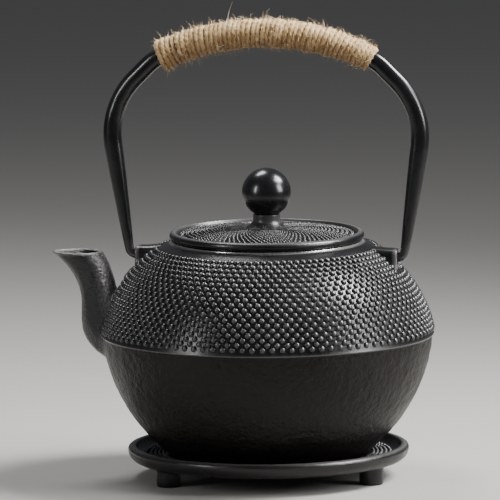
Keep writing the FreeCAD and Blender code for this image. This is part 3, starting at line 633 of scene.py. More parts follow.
# ---------------------------------------------------------------- lugs
# Two blocky ears, cast on the shoulder fore and aft, each with a hole for the handle's hook.
LUG_WIDTH, LUG_COVER, LUG_CORNER, LUG_HOLE, HINGE = 11.0, 4.4, 3.0, 3.0, 98.7
LUG_DROP, LUG_DEPTH, LUG_FILLET, LUG_ROUND = 8.5, 13.0, 1.6, 48
lug_iron = iron_finish("lug_iron", BLACK_IRON, WORN_AND_SHEEN_IRON, 0.34, 0.16, spread=0.8)


def lug(name, side, cad_name):
    """A bar of the ear's outline, hollow along the hook's line, with rounded outer edges."""
    face = max(abs(corner.x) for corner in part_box(cad_name)) / MM
    half = LUG_WIDTH / 2
    outline = []
    for step in range(LUG_ROUND):
        angle = 2 * math.pi * (step + 0.5) / LUG_ROUND
        across, up = math.sin(angle), math.cos(angle)
        reach = min(half / max(abs(across), 1e-6),
                    (LUG_COVER if up > 0 else LUG_DROP) / max(abs(up), 1e-6))
        outline.append(np.array((across * reach, up * reach)))
    top = LUG_COVER - LUG_CORNER
    for index, (across, up) in enumerate(outline):
        corner = np.array((math.copysign(half - LUG_CORNER, across), top))
        way = np.array((across, up)) - corner
        if up > top and abs(across) > half - LUG_CORNER:
            outline[index] = corner + way / np.linalg.norm(way) * LUG_CORNER
    outline = np.array(outline)
    outwards = outline / np.linalg.norm(outline, axis=1)[:, None]
    rows = []
    inner = face - LUG_DEPTH
    for depth, shrink in ((inner, 0.0), (face - 6.0, 0.0), (face - 2.5, 0.0), (face - 0.7, 0.02),
                          (face - 0.2, 0.16), (face - 0.02, 0.5)):
        rows.append((depth, outline - shrink * outwards))
    outer_rows = len(rows)
    for depth, grow in ((face, 0.7), (face - 0.12, 0.25), (face - 0.55, 0.0), (inner, 0.0)):
        rows.append((depth, (LUG_HOLE + grow) * outwards))
    points = np.concatenate([np.stack([np.full(LUG_ROUND, side * depth), ring[:, 0],
                                       ring[:, 1] + HINGE], 1) for depth, ring in rows])
    gap, way = skin_gap(points)
    flare = np.clip(1 - gap / LUG_FILLET, 0, 1) ** 2 * 0.9
    outer = np.arange(len(points)) < outer_rows * LUG_ROUND
    centre = np.array((0, 0, HINGE - 1.5))
    spread = points - centre
    spread[:, 0] = 0
    spread /= np.linalg.norm(spread, axis=1)[:, None]
    points += spread * (flare * outer * (gap > -3))[:, None]
    points[:, 2] += foot_level
    points *= MM
    points += uneven(points, 0.05 * MM, 2.5 * MM)
    faces = skin_faces(len(rows), LUG_ROUND, True)
    if side < 0:
        faces = [tuple(reversed(each)) for each in faces]
    marks = np.zeros(len(points))
    marks[3 * LUG_ROUND:7 * LUG_ROUND] = 0.3
    make_piece(name, points, faces, "pot", lug_iron, {"wear_and_sheen": marks},
               [cad_name])


lug("spout_side_lug", -1, "lug_spout_side")
lug("back_side_lug", 1, "lug_back_side")

# ---------------------------------------------------------------- handle bar
# A forged iron bail, bent from one round bar.  Its legs taper to hooked ends that pass through
# the lugs, and it is finished in black lacquer with faint hammer flats along it.
GRIP_ARC, GRIP_ANGLE, GRIP_BEND, LINK_ANGLE, CORNER_ARC = 121.0, 26.0, 22.0, 45.0, 40.0
BAR, HOOK, HOOK_ARC, LEG_GAP, SPREAD, HANDLE_RISE = 4.6, 2.3, 3.5, 3.1, 8.4, 111.2
LEG_STEPS, LEG_TAPER, BAR_SQUARENESS, BAR_ROUND = 30, 1.25, 2.35, 36
lug_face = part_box("lug_back_side")[1].x / MM
hook_end = shoulder_centre[0] + math.sqrt(
    SHOULDER_ARC ** 2 - (HINGE - HOOK - shoulder_centre[1]) ** 2) + 0.6
grip, link = math.radians(GRIP_ANGLE), math.radians(LINK_ANGLE)
hinge_point = np.array((lug_face + LEG_GAP, HINGE))
grip_middle = np.array((0.0, HINGE + HANDLE_RISE - GRIP_ARC))


def way_at(angle):
    """The direction that leans by an angle from upright, in the handle's plane."""
    return np.array((math.sin(angle), math.cos(angle)))


bend_middle = grip_middle + way_at(grip) * (GRIP_ARC - GRIP_BEND)
link_start = bend_middle + way_at(link) * GRIP_BEND
downhill = np.array((math.cos(link), -math.sin(link)))
corner_x = hinge_point[0] + SPREAD - CORNER_ARC
link_length = (corner_x + CORNER_ARC * math.sin(link) - link_start[0]) / downhill[0]
corner_middle = link_start + downhill * link_length - way_at(link) * CORNER_ARC
reach = np.linalg.norm(hinge_point - corner_middle)
leg_lean = math.asin(CORNER_ARC / reach) - math.atan2(
    hinge_point[0] - corner_middle[0], corner_middle[1] - hinge_point[1])
leg_way = np.array((-math.sin(leg_lean), -math.cos(leg_lean)))
leg_top = corner_middle + way_at(math.pi / 2 + leg_lean) * CORNER_ARC
hook_tangent = HOOK_ARC * math.tan((math.pi / 2 - leg_lean) / 2)
leg_bottom = hinge_point - leg_way * hook_tangent
hook_middle = hinge_point + np.array((-hook_tangent, HOOK_ARC))


def bend_places(centre, radius, start, end, count):
    """Places along one bend of the bar."""
    return [centre + radius * way_at(start + (end - start) * step / count)
            for step in range(count + 1)]


half_line = [(place, BAR) for place in bend_places(grip_middle, GRIP_ARC, 0, grip, 26)]
half_line += [(place, BAR) for place in bend_places(bend_middle, GRIP_BEND, grip, link, 6)[1:]]
half_line += [(place, BAR) for place in
              bend_places(corner_middle, CORNER_ARC, link, math.pi / 2 + leg_lean, 28)]
for step in range(1, LEG_STEPS + 1):
    share = step / LEG_STEPS
    half_line.append((leg_top + (leg_bottom - leg_top) * share,
                      BAR + (HOOK - BAR) * share ** LEG_TAPER))
half_line += [(place, HOOK) for place in bend_places(
    hook_middle, HOOK_ARC, math.pi / 2 + leg_lean, math.pi, 10)[1:]]
half_line += [(np.array((hook_middle[0] + (hook_end - hook_middle[0]) * share, HINGE)), size)
              for share, size in ((0.5, HOOK), (0.86, HOOK), (0.96, 0.86 * HOOK),
                                  (1.0, 0.45 * HOOK))]
bail = [(np.array((-place[0], place[1])), size) for place, size in half_line[:0:-1]] + half_line


def swept(path, sizes, count, squareness, shape):
    """Rings of a bar swept along a path in the handle's plane; shape varies its thickness."""
    path = np.array(path)
    ahead = np.gradient(path, axis=0)
    ahead /= np.linalg.norm(ahead, axis=1)[:, None]
    turn = np.linspace(0, 2 * math.pi, count, endpoint=False)
    stretch = (np.abs(np.cos(turn)) ** squareness + np.abs(np.sin(turn)) ** squareness) ** (
        -1 / squareness)
    points = []
    for index, (place, way, size) in enumerate(zip(path, ahead, sizes)):
        normal = np.array((-way[1], way[0]))
        reach = size * stretch * shape(index, turn)
        points.append(np.stack([place[0] + normal[0] * reach * np.cos(turn),
                                reach * np.sin(turn),
                                place[1] + normal[1] * reach * np.cos(turn)], 1))
    return np.concatenate(points)


def hammered(index, turn):
    """Faint flats left by forging: a slow change of the bar's thickness round and along it."""
    places = [Vector((math.cos(angle) * 1.3, math.sin(angle) * 1.3, index * 0.21))
              for angle in turn]
    return 0.975 + 0.018 * np.array([noise.noise(place) for place in places])


bail_points = swept([place for place, size in bail], [size for place, size in bail], BAR_ROUND,
                    BAR_SQUARENESS, hammered)
bail_marks = np.clip(1 - np.abs(bail_points[:, 2] - HINGE) / 9, 0, 1) * 0.4
bail_points[:, 2] += foot_level
bar_iron = iron_finish("bar_iron", BLACK_IRON, (0.16, 0.158, 0.155), 0.26, 0.05, lump=180.0,
                       grit=1300.0, share=0.3, rough_range=0.1, coat=0.2)
make_piece("bail_bar", bail_points * MM, bar_faces(len(bail), BAR_ROUND), "handle", bar_iron,
           {"wear_and_sheen": bail_marks}, ["handle_bar"])

# ---------------------------------------------------------------- twine on the grip
# Jute twine is wound tight round the grip, turn against turn, with its ends tucked under.  It is
# two twisted yarns, uneven in thickness, and short fibres stand out of it all over.
TURNS, TWINE, TWIST, PLY, LUMPINESS = 46, 1.36, 5.2, 0.16, 0.09
PER_TURN, TWINE_ROUND, FIBRES = 60, 10, 4000
wrap_rng = random.Random(5)
turn_gaps = np.array([wrap_rng.uniform(0.88, 1.12) for step in range(TURNS)])
turn_ends = np.concatenate([[0], np.cumsum(turn_gaps)]) / turn_gaps.sum()
turn_rides = np.array([wrap_rng.gauss(0, 0.16) for step in range(TURNS + 1)])
turn_sizes = np.array([wrap_rng.gauss(1, 0.06) for step in range(TURNS + 1)])
samples = TURNS * PER_TURN + 1
turn_place = np.arange(samples) / PER_TURN
grip_share = np.interp(turn_place, np.arange(TURNS + 1), turn_ends)
grip_angles = -grip + 2 * grip * grip_share
swell_left = np.interp(grip_share, [0, 0.12, 0.3, 0.8, 1.0], [1.12, 1.06, 1.0, 0.96, 0.84])
ride = np.interp(turn_place, np.arange(TURNS + 1), turn_rides)
size_now = np.interp(turn_place, np.arange(TURNS + 1), turn_sizes) * TWINE
around = 2 * math.pi * turn_place + 0.6
lay_radius = (BAR + TWINE * 0.9) * swell_left + ride
wander = np.array([noise.noise(Vector((place * 1.7, 4.0, 0))) for place in turn_place])
grip_angles = grip_angles + wander * 0.0045
inplane = np.stack([np.sin(grip_angles), np.zeros(samples), np.cos(grip_angles)], 1)
core = np.array((grip_middle[0], 0, grip_middle[1])) + inplane * GRIP_ARC
spin = inplane * np.cos(around)[:, None] + np.array((0, 1, 0)) * np.sin(around)[:, None]
strand = core + spin * lay_radius[:, None]
ahead = np.gradient(strand, axis=0)
steps_along = np.linalg.norm(ahead, axis=1)
length_along = np.cumsum(steps_along)
ahead /= steps_along[:, None]
side_way = np.cross(ahead, spin)
side_way /= np.linalg.norm(side_way, axis=1)[:, None]
up_way = np.cross(side_way, ahead)
turn = np.linspace(0, 2 * math.pi, TWINE_ROUND, endpoint=False)
twist = 2 * math.pi * length_along / TWIST
ply = 1 + PLY * np.cos(2 * (turn[None] - twist[:, None]))
lumpy = 1 + LUMPINESS * np.array(
    [[noise.noise(Vector((place * 0.9, math.cos(angle), math.sin(angle)))) for angle in turn]
     for place in length_along])
reach = (size_now[:, None] * ply * lumpy)[..., None]
twine_points = (strand[:, None] + reach * (side_way[:, None] * np.sin(turn)[None, :, None]
                                          - up_way[:, None] * np.cos(turn)[None, :, None]))
twine_points = twine_points.reshape(-1, 3)
twine_points[:, 2] += foot_level


def underside_shade_of(upward):
    """Painted shade: the twine's colour is darkened on the underside of the grip, which faces away
    from the light.
    """
    return np.clip(0.45 - 0.75 * np.asarray(upward), 0, 1)


jute, jute_tree, jute_shader = new_material("jute", (0.72, 0.56, 0.34), 0.85, 0.25)
jute_shader.inputs["Sheen Weight"].default_value = 0.25
jute_shader.inputs["Sheen Roughness"].default_value = 0.5
along_mark, round_mark, tint_mark, handled_mark = (
    node(jute_tree, "ShaderNodeAttribute", {"attribute_name": name})
    for name in ("along", "round", "tint", "handled"))
strand_place = node(jute_tree, "ShaderNodeCombineXYZ", X=along_mark.outputs["Fac"],
                    Y=round_mark.outputs["Fac"])
fibre_lines = noise_texture(jute_tree, 1.0, 4.0, 0.7, strand_place.outputs[0])
patches = noise_texture(jute_tree, 170.0, 3.0)
fibre_range = node(jute_tree, "ShaderNodeMapRange", Value=fibre_lines, From_Min=0.34,
                   From_Max=0.66)
patch_range = node(jute_tree, "ShaderNodeMapRange", Value=patches, From_Min=0.35, From_Max=0.7)
straw = mix_colors(jute_tree, fibre_range.outputs[0], (0.17, 0.088, 0.028), (0.60, 0.40, 0.18))
patched = mix_colors(jute_tree, patch_range.outputs[0], straw, (0.66, 0.47, 0.24))
tinted = mix_colors(jute_tree, tint_mark.outputs["Fac"], patched, (0.88, 0.74, 0.50))
# Painted shade: the underside of the grip and its fibres are darkened in the colour.
darkened = mix_colors(jute_tree, handled_mark.outputs["Fac"], tinted, (0.42, 0.33, 0.24),
                      "MULTIPLY")
jute_tree.links.new(darkened, jute_shader.inputs["Base Color"])
fibre_bump = node(jute_tree, "ShaderNodeBump", Strength=0.9, Distance=0.18 * MM,
                  Height=fibre_lines)
jute_tree.links.new(fibre_bump.outputs[0], jute_shader.inputs["Normal"])
along_values = np.repeat(length_along * 0.35, TWINE_ROUND)
round_values = np.tile(np.arange(TWINE_ROUND) * 1.5, samples) + np.repeat(
    length_along * 0.9, TWINE_ROUND)
make_piece("twine_wrap", twine_points * MM, bar_faces(samples, TWINE_ROUND), "handle", jute,
           {"along": along_values, "round": round_values, "tint": np.zeros(len(twine_points)),
            "handled": np.repeat(underside_shade_of(spin[:, 2]), TWINE_ROUND)}, ["handle_wrap"])

# Most loose fibres are short and curl close to the twine; a few stand well out of it.
fuzz_points, fuzz_faces, fuzz_tints, fuzz_handled = [], [], [], []


def fibre(start, way, length, curl, thick, steps=7, upward=1.0):
    """One hair of jute: a thin three-sided tube that curls as it goes and tapers to its tip."""
    place, way = np.array(start, float), np.array(way, float)
    drift = np.array([wrap_rng.gauss(0, 1) for axis in range(3)])
    base = len(fuzz_points)
    tint = wrap_rng.choice((0.0, 0.25, 0.6, 0.9, 1.0))
    for step in range(steps + 1):
        way /= np.linalg.norm(way)
        first = np.cross(way, (0.3, 0.5, 0.8))
        first /= np.linalg.norm(first)
        second = np.cross(way, first)
        size = thick * (1 - 0.75 * step / steps)
        for corner in range(3):
            angle = 2 * math.pi * corner / 3
            fuzz_points.append(place + (first * math.cos(angle) + second * math.sin(angle)) * size)
            fuzz_tints.append(tint)
            # Painted shade on fibres that lie on the underside of the grip.
            fuzz_handled.append(0.8 * underside_shade_of(upward))
        if step < steps:
            here, after = base + 3 * step, base + 3 * (step + 1)
            for corner in range(3):
                side = (corner + 1) % 3
                fuzz_faces.append((here + corner, here + side, after + side, after + corner))
        place = place + way * length / steps
        drift += np.array([wrap_rng.gauss(0, 0.5) for axis in range(3)])
        way = way + drift * curl
    fuzz_faces.append((base + 2, base + 1, base))
    fuzz_faces.append((base + 3 * steps, base + 3 * steps + 1, base + 3 * steps + 2))


for number in range(FIBRES):
    index = wrap_rng.randrange(samples)
    lean = wrap_rng.uniform(-1, 1)
    out = spin[index]
    start = strand[index] + out * size_now[index] * wrap_rng.uniform(0.8, 1.1)
    loose = wrap_rng.random()
    way = out * (0.12 + 0.9 * loose ** 4) + ahead[index] * wrap_rng.choice((-1, 1)) * 0.9 \
        + side_way[index] * lean * 0.9
    length = wrap_rng.uniform(1.6, 3.6) + (wrap_rng.uniform(0, 3.5) if loose > 0.93 else 0)
    fibre(start, way, length, 0.2, wrap_rng.uniform(0.05, 0.1), upward=out[2])


def grip_place(degrees, out_angle, gap):
    """A point on the wrap's surface and its direction, by place along and round the grip."""
    angle = math.radians(degrees)
    up = np.array((math.sin(angle), 0, math.cos(angle)))
    out = up * math.cos(out_angle) + np.array((0, 1, 0)) * math.sin(out_angle)
    middle = np.array((grip_middle[0], 0, grip_middle[1])) + up * GRIP_ARC
    return middle + out * (BAR + 2 * TWINE - gap), out


# Strays: degrees along the grip, angle round it, direction, length and curl.
STRAYS = ((-8.3, -0.3, (0.02, 0, 1), 11.0, 0.03), (-17.5, 0.2, (-0.4, 0, 0.9), 5.5, 0.3),
          (-3.0, -0.4, (0.7, 0, 0.7), 5.5, 0.35), (11.5, -0.2, (-0.6, 0, 0.8), 6.0, 0.35),
          (22.0, 0.1, (0.6, 0, 0.7), 6.5, 0.2), (25.0, 1.2, (0.9, 0.2, 0.3), 5.0, 0.2),
          (-25.0, 2.6, (-0.1, 0, -1), 6.5, 0.12), (-24.5, 2.9, (0.3, -0.1, -1), 5.5, 0.15),
          (-23.5, 2.8, (0.1, 0.1, -1), 4.5, 0.15), (18.0, -0.1, (0.1, -0.2, 1), 5.0, 0.3),
          (5.0, 0.3, (0.5, 0.3, 0.8), 4.5, 0.3), (-13.0, 0.1, (0.3, -0.3, 0.9), 4.5, 0.3))
for degrees, out_angle, way, length, curl in STRAYS:
    start, out = grip_place(degrees, out_angle, 0.4)
    fibre(start, way, length, curl * 0.8, 0.095, 14)
fuzz_points = np.array(fuzz_points)
fuzz_points[:, 2] += foot_level
make_piece("twine_fuzz", fuzz_points * MM, fuzz_faces, "handle", jute,
           {"along": fuzz_points[:, 0], "round": fuzz_points[:, 2],
            "tint": np.array(fuzz_tints), "handled": np.array(fuzz_handled)})

# ---------------------------------------------------------------- lid
# The lid is cast iron: a rolled rim, a sunk field with rings of small studs, a flared boss that
# carries the knob, and a locating ring below that fits the strainer.
LID_RADIUS, LID_RIM, LID_FIELD, LID_TOP, BOSS, BOSS_NECK, BOSS_TOP = (
    48.4, 4.3, 1.9, 5.9, 11.0, 6.75, 12.9)
RING_IN, RING_OUT, RING_DROP, STUD_HOLE, ROLL, FIELD_ARC, FLARE_TOP = (
    34.1, 36.6, 7.0, 2.7, 2.15, 160.0, 9.4)
LID_ROUND, LID_STUDS = 288, 84
lid_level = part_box("lid")[0].z / MM + RING_DROP
RIM_IN, ROLL_MIDDLE = LID_RADIUS - 4.0, LID_RADIUS - ROLL
field_line = arc((RIM_IN, LID_FIELD), (BOSS, LID_TOP), FIELD_ARC, 1, 24)
lid_profile = (
    [(STUD_HOLE, 3.35)] + line((STUD_HOLE, 3.3), (8.0, 3.3), 3)
    + line((8.0, 3.3), (RING_IN, 0.6), 6) + line((RING_IN, 0.6), (RING_IN, -6.6), 4)
    + rounded((RING_IN, 0), (RING_IN, -RING_DROP), (RING_OUT, -RING_DROP), 0.5)
    + rounded((RING_IN, -RING_DROP), (RING_OUT, -RING_DROP), (RING_OUT, 0), 0.5)
    + line((RING_OUT, -6.4), (RING_OUT, -0.2), 4)
    + [(RING_OUT + 0.2, 0.0)] + line((RING_OUT + 0.2, 0.0), (46.0, 0.0), 4)
    + arc((ROLL_MIDDLE, 0.0), (LID_RADIUS, ROLL), ROLL, 1, 7)
    + arc((LID_RADIUS, ROLL), (ROLL_MIDDLE, LID_RIM), ROLL, 1, 7)
    + rounded((47, LID_RIM), (45.6, LID_RIM), (RIM_IN, LID_FIELD), 0.5)
    + [(RIM_IN + 0.35, LID_FIELD + 0.55), (RIM_IN + 0.05, LID_FIELD + 0.12)]
    + [(RIM_IN - 0.4, LID_FIELD + 0.05)] + field_line[1:-1]
    + arc((BOSS + 0.3, LID_TOP - 0.02), (BOSS_NECK, FLARE_TOP), BOSS, -1, 10)
    + line((BOSS_NECK, FLARE_TOP), (BOSS_NECK, BOSS_TOP - 0.5), 3)
    + rounded((BOSS_NECK, 9), (BOSS_NECK, BOSS_TOP), (STUD_HOLE, BOSS_TOP), 0.4)
    + line((BOSS_NECK - 0.6, BOSS_TOP), (STUD_HOLE + 0.1, BOSS_TOP), 2)
    + [(STUD_HOLE, BOSS_TOP - 0.1)]
    + line((STUD_HOLE, BOSS_TOP - 0.2), (STUD_HOLE, 3.5), 4))
lid_points, lid_faces = turned([(radius, height + lid_level) for radius, height in lid_profile],
                               LID_ROUND, True)
lid_points = np.array(lid_points)
lid_radii = np.hypot(lid_points[:, 0], lid_points[:, 1]) / MM
lid_heights = lid_points[:, 2] / MM - lid_level
lid_points += uneven(lid_points, 0.05 * MM, 7 * MM)
lid_marks = np.clip(np.exp(-((lid_heights - LID_RIM) / 0.5) ** 2) * (lid_radii > 43) * 0.25
                    + np.exp(-((lid_radii - BOSS_NECK) / 0.8) ** 2) * 0.12, 0, 1)
lid_iron = iron_finish("lid_iron", BLACK_IRON, WORN_AND_SHEEN_IRON, 0.31, 0.14)
make_piece("lid_casting", lid_points, lid_faces, "lid", lid_iron,
           {"wear_and_sheen": lid_marks}, ["lid"])

field_middle = arc_middle((RIM_IN, LID_FIELD), (BOSS, LID_TOP), FIELD_ARC)
flare_middle = arc_middle((BOSS_NECK, FLARE_TOP), (BOSS, LID_TOP), BOSS)
STUD_SHAPE = ((1.15, -0.15), (0.85, 0.45), (0.45, 0.9))


def stud_rings(count, start, end, spacing, level_of, normal_of, size_share, rise, seed):
    """Rings of small studs on a turned surface; the rings close up towards the middle."""
    dice = random.Random(seed)
    places, outs, sizes, rises = [], [], [], []
    radius, ring = start, 0
    while radius > end:
        pitch = 2 * math.pi * radius / count
        for number in range(count):
            angle = 2 * math.pi * (number + 0.5 * (ring % 2)) / count + dice.gauss(0, 0.0012)
            flat = np.array((math.cos(angle), math.sin(angle)))
            slope = normal_of(radius)
            places.append(np.array((*(flat * radius), level_of(radius))) * MM)
            outs.append((*(flat * slope[0]), slope[1]))
            sizes.append(pitch * size_share * dice.gauss(1, 0.03) * MM)
            rises.append(min(rise, pitch * 0.34) * dice.gauss(1, 0.05) * MM)
        radius -= pitch * spacing
        ring += 1
    return domes(places, outs, sizes, rises, 8, STUD_SHAPE)


def field_level(radius):
    """Height of the lid's field, or of the flare of its boss, at a radius."""
    middle, curve, side = ((flare_middle, BOSS, -1) if radius < BOSS
                           else (field_middle, FIELD_ARC, 1))
    return middle[1] + side * math.sqrt(curve ** 2 - (radius - middle[0]) ** 2) + lid_level


def field_out(radius):
    """The way out of the lid's surface at a radius: outwards and up."""
    if radius < BOSS:
        lean = (flare_middle[0] - radius) / BOSS
    else:
        lean = (radius - field_middle[0]) / FIELD_ARC
    return lean, math.sqrt(1 - lean * lean)


stud_points, stud_faces, stud_marks = stud_rings(
    LID_STUDS, RIM_IN - 1.9, 7.6, 0.8, field_level, field_out, 0.35, 1.05, 21)
make_piece("lid_studs", stud_points, stud_faces, "lid", nail_iron,
           crown_rub(stud_marks))

# ---------------------------------------------------------------- knob
# A smooth cast ball with a flat below, thickly enamelled and polished to a gloss.
KNOB, KNOB_LIFT, THREAD, THREAD_DEPTH = 12.25, 10.7, 2.5, 12.0
knob_flat = math.sqrt(KNOB ** 2 - KNOB_LIFT ** 2)
knob_level = lid_level + BOSS_TOP
knob_profile = (
    [(0.0, THREAD_DEPTH), (THREAD, THREAD_DEPTH), (THREAD, 0.2), (2.6, 0.0)]
    + line((2.6, 0.0), (knob_flat - 0.5, 0.0), 3)
    + rounded((3, 0), (knob_flat, 0), (knob_flat + 1.6, 1.0), 0.45)
    + arc((knob_flat + 0.45, 0.3), (0.0, KNOB + KNOB_LIFT), KNOB, 1, 48)[1:-1]
    + [(0.0, KNOB + KNOB_LIFT)])
knob_points, knob_faces = turned([(radius, height + knob_level)
                                  for radius, height in knob_profile], 128)
knob_enamel = iron_finish("knob_enamel", BLACK_IRON, (0.02, 0.02, 0.02), 0.26, 0.012,
                          lump=130.0, grit=900.0, share=0.15, rough_range=0.05, coat=0.25)
make_piece("knob_ball", knob_points, knob_faces, "lid", knob_enamel,
           {"wear_and_sheen": np.zeros(len(knob_points))}, ["knob"])

# The stud, washer and nut are bright steel; they keep their shapes and get a turned finish.
steel, steel_tree, steel_shader = new_material("turned_steel", (0.56, 0.56, 0.57), 0.3, 0.5, 1.0)
steel_place = node(steel_tree, "ShaderNodeMapping",
                   Vector=node(steel_tree, "ShaderNodeTexCoord").outputs["Object"],
                   Scale=(30.0, 30.0, 5200.0))
scratches = noise_texture(steel_tree, 1.0, 3.0, at=steel_place.outputs[0])
steel_dull = node(steel_tree, "ShaderNodeMapRange", Value=scratches, To_Min=0.22, To_Max=0.42)
steel_tone = mix_colors(steel_tree, scratches, (0.50, 0.50, 0.51), (0.66, 0.66, 0.66))
steel_bump = node(steel_tree, "ShaderNodeBump", Strength=0.5, Distance=0.02 * MM,
                  Height=scratches)
for source, socket in ((steel_dull.outputs[0], "Roughness"), (steel_tone, "Base Color"),
                       (steel_bump.outputs[0], "Normal")):
    steel_tree.links.new(source, steel_shader.inputs[socket])
for name in ("knob_stud", "knob_washer", "knob_nut", "strainer_rim"):
    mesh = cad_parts[name].data
    mesh.materials.clear()
    mesh.materials.append(steel)

# ---------------------------------------------------------------- strainer
# The lift-out strainer has a pressed steel rim.  Its wall and base are woven steel wire, held at
# the bottom in a crimped band.
rim_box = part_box("strainer_rim")
base_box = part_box("strainer_base")
WIRE, WALL_WIRES, RING_WIRES, DISC_PITCH, SHORTEST_WIRE = 0.14, 210, 50, 1.1, 2.0
strainer_radius = base_box[1].x / MM - 0.6 - 0.25
strainer_low, strainer_high = base_box[0].z / MM + 0.8, rim_box[1].z / MM - 1.2


def wire_tubes(paths, closed, thick):
    """Three-sided wires along paths of points, all in one mesh."""
    points, faces = [], []
    for path in paths:
        path = np.array(path)
        ahead = (np.roll(path, -1, 0) - np.roll(path, 1, 0) if closed
                 else np.gradient(path, axis=0))
        ahead /= np.linalg.norm(ahead, axis=1)[:, None]
        helper = np.where(np.abs(ahead[:, 2:]) < 0.8, (0.0, 0.0, 1.0), (1.0, 0.0, 0.0))
        first = np.cross(ahead, helper)
        first /= np.linalg.norm(first, axis=1)[:, None]
        second = np.cross(ahead, first)
        base, count = len(points), len(path)
        for index in range(count):
            for corner in range(3):
                angle = 2 * math.pi * corner / 3
                points.append(path[index] + thick * (first[index] * math.cos(angle)
                                                     + second[index] * math.sin(angle)))
        for index in range(count if closed else count - 1):
            here, after = base + 3 * index, base + 3 * ((index + 1) % count)
            for corner in range(3):
                side = (corner + 1) % 3
                faces.append((here + corner, here + side, after + side, after + corner))
    return points, faces


def wall_point(number, index, side):
    """A crossing in the woven wall, where a wire passes outside (1) or inside (-1) the other."""
    radius = strainer_radius + side * WIRE * (-1) ** (number + index)
    angle = 2 * math.pi * number / WALL_WIRES
    return radius * math.cos(angle), radius * math.sin(angle), levels[index]


def joined(*parts):
    """Points and faces of several meshes as one."""
    points, faces = [], []
    for more_points, more_faces in parts:
        faces += [tuple(index + len(points) for index in face) for face in more_faces]
        points += list(more_points)
    return np.array(points), faces


levels = np.linspace(strainer_low, strainer_high, RING_WIRES)
uprights = [[wall_point(number, index, 1) for index in range(RING_WIRES)]
            for number in range(WALL_WIRES)]
hoops = [[wall_point(number, index, -1) for number in range(WALL_WIRES)]
         for index in range(RING_WIRES)]
wall_points, wall_faces = joined(wire_tubes(uprights, False, WIRE), wire_tubes(hoops, True, WIRE))
wire_steel, wire_tree, wire_shader = new_material("wire_steel", (0.5, 0.5, 0.51), 0.34, 0.5, 1.0)
wire_tone = mix_colors(wire_tree, noise_texture(wire_tree, 350.0, 3.0), (0.36, 0.36, 0.37),
                       (0.64, 0.64, 0.64))
wire_tree.links.new(wire_tone, wire_shader.inputs["Base Color"])
make_piece("strainer_mesh_wall", wall_points * MM, wall_faces, "strainer", wire_steel,
           stands_for=["strainer_wall"])

disc_level = base_box[0].z / MM + 0.3
disc_wires = []
half_count = int(strainer_radius / DISC_PITCH)
for number in range(-half_count, half_count + 1):
    across = number * DISC_PITCH
    reach = math.sqrt(strainer_radius ** 2 - across ** 2)
    if reach >= SHORTEST_WIRE:
        count = int(reach / DISC_PITCH)
        places = np.arange(-count, count + 1)
        waves = WIRE * (-1.0) ** (places + number)
        disc_wires.append([(across, place * DISC_PITCH, disc_level + wave)
                           for place, wave in zip(places, waves)])
        disc_wires.append([(place * DISC_PITCH, across, disc_level - wave)
                           for place, wave in zip(places, waves)])
disc_points, disc_faces = wire_tubes(disc_wires, False, WIRE)
band_profile = [(radius, height + base_box[0].z / MM) for radius, height in (
    (strainer_radius - 1.4, 0.0), (strainer_radius + 0.45, 0.0), (strainer_radius + 0.85, 0.4),
    (strainer_radius + 0.85, 2.2), (strainer_radius + 0.62, 2.5), (strainer_radius + 0.85, 2.8),
    (strainer_radius + 0.85, 4.8), (strainer_radius + 0.7, 5.0), (strainer_radius + 0.3, 5.0),
    (strainer_radius + 0.3, 0.75), (strainer_radius - 1.4, 0.6))]
base_points, base_faces = joined(turned(band_profile, 144, True),
                                 (np.array(disc_points) * MM, disc_faces))
make_piece("strainer_mesh_base", base_points, base_faces, "strainer", steel,
           stands_for=["strainer_base"])

# ---------------------------------------------------------------- trivet
# A dished plate of cast iron on three short feet, with rings of small studs over the plate and a
# thick rolled rim, finished like the pot's lower body.
PLATE_RADIUS, PLATE_TOP, RIM_TOP, UNDERSIDE, RIM_INNER = 70.0, 12.0, 16.5, 9.0, 66.0
OUTER_STUDS, INNER_STUDS, FOOT_RADIUS = 96, 72, 6.0
plate_profile = (
    [(0.0, UNDERSIDE)] + line((0.0, UNDERSIDE), (64.8, UNDERSIDE), 6)
    + rounded((60, UNDERSIDE), (RIM_INNER, UNDERSIDE), (67.5, 9.9), 0.8)
    + arc((66.6, 9.25), (PLATE_RADIUS, RIM_TOP - 2), 6.0, 1, 9)
    + arc((PLATE_RADIUS, RIM_TOP - 2), (PLATE_RADIUS - 2, RIM_TOP), 2.0, 1, 6)
    + [(67.2, RIM_TOP)]
    + rounded((67.2, RIM_TOP), (RIM_INNER, RIM_TOP), (RIM_INNER - 0.1, 15.5), 0.5)
    + arc((RIM_INNER - 0.1, 15.6), (61.5, PLATE_TOP), 4.5, -1, 9)
    + line((61.5, PLATE_TOP), (4.0, PLATE_TOP), 16) + [(0.0, PLATE_TOP)])
plate_points, plate_faces = turned(plate_profile, 288)
plate_points = np.array(plate_points)
plate_radii = np.hypot(plate_points[:, 0], plate_points[:, 1]) / MM
rough_part = np.where((plate_radii > 50) | (plate_points[:, 2] < 11 * MM), 1, 0.3)
plate_points += uneven(plate_points, 0.08 * MM, 4 * MM) * rough_part[:, None]
trivet_iron = iron_finish("trivet_iron", (0.0030, 0.0027, 0.0026), WORN_AND_SHEEN_IRON, 0.33, 0.2,
                          lump=380.0, grit=1300.0)
plate_marks = np.exp(-(((plate_radii - 68.2) / 1.3) ** 2
                       + ((plate_points[:, 2] / MM - RIM_TOP) / 0.6) ** 2)) * 0.25
make_piece("trivet_casting", plate_points, plate_faces, "stand", trivet_iron,
           {"wear_and_sheen": plate_marks}, ["trivet_plate"])

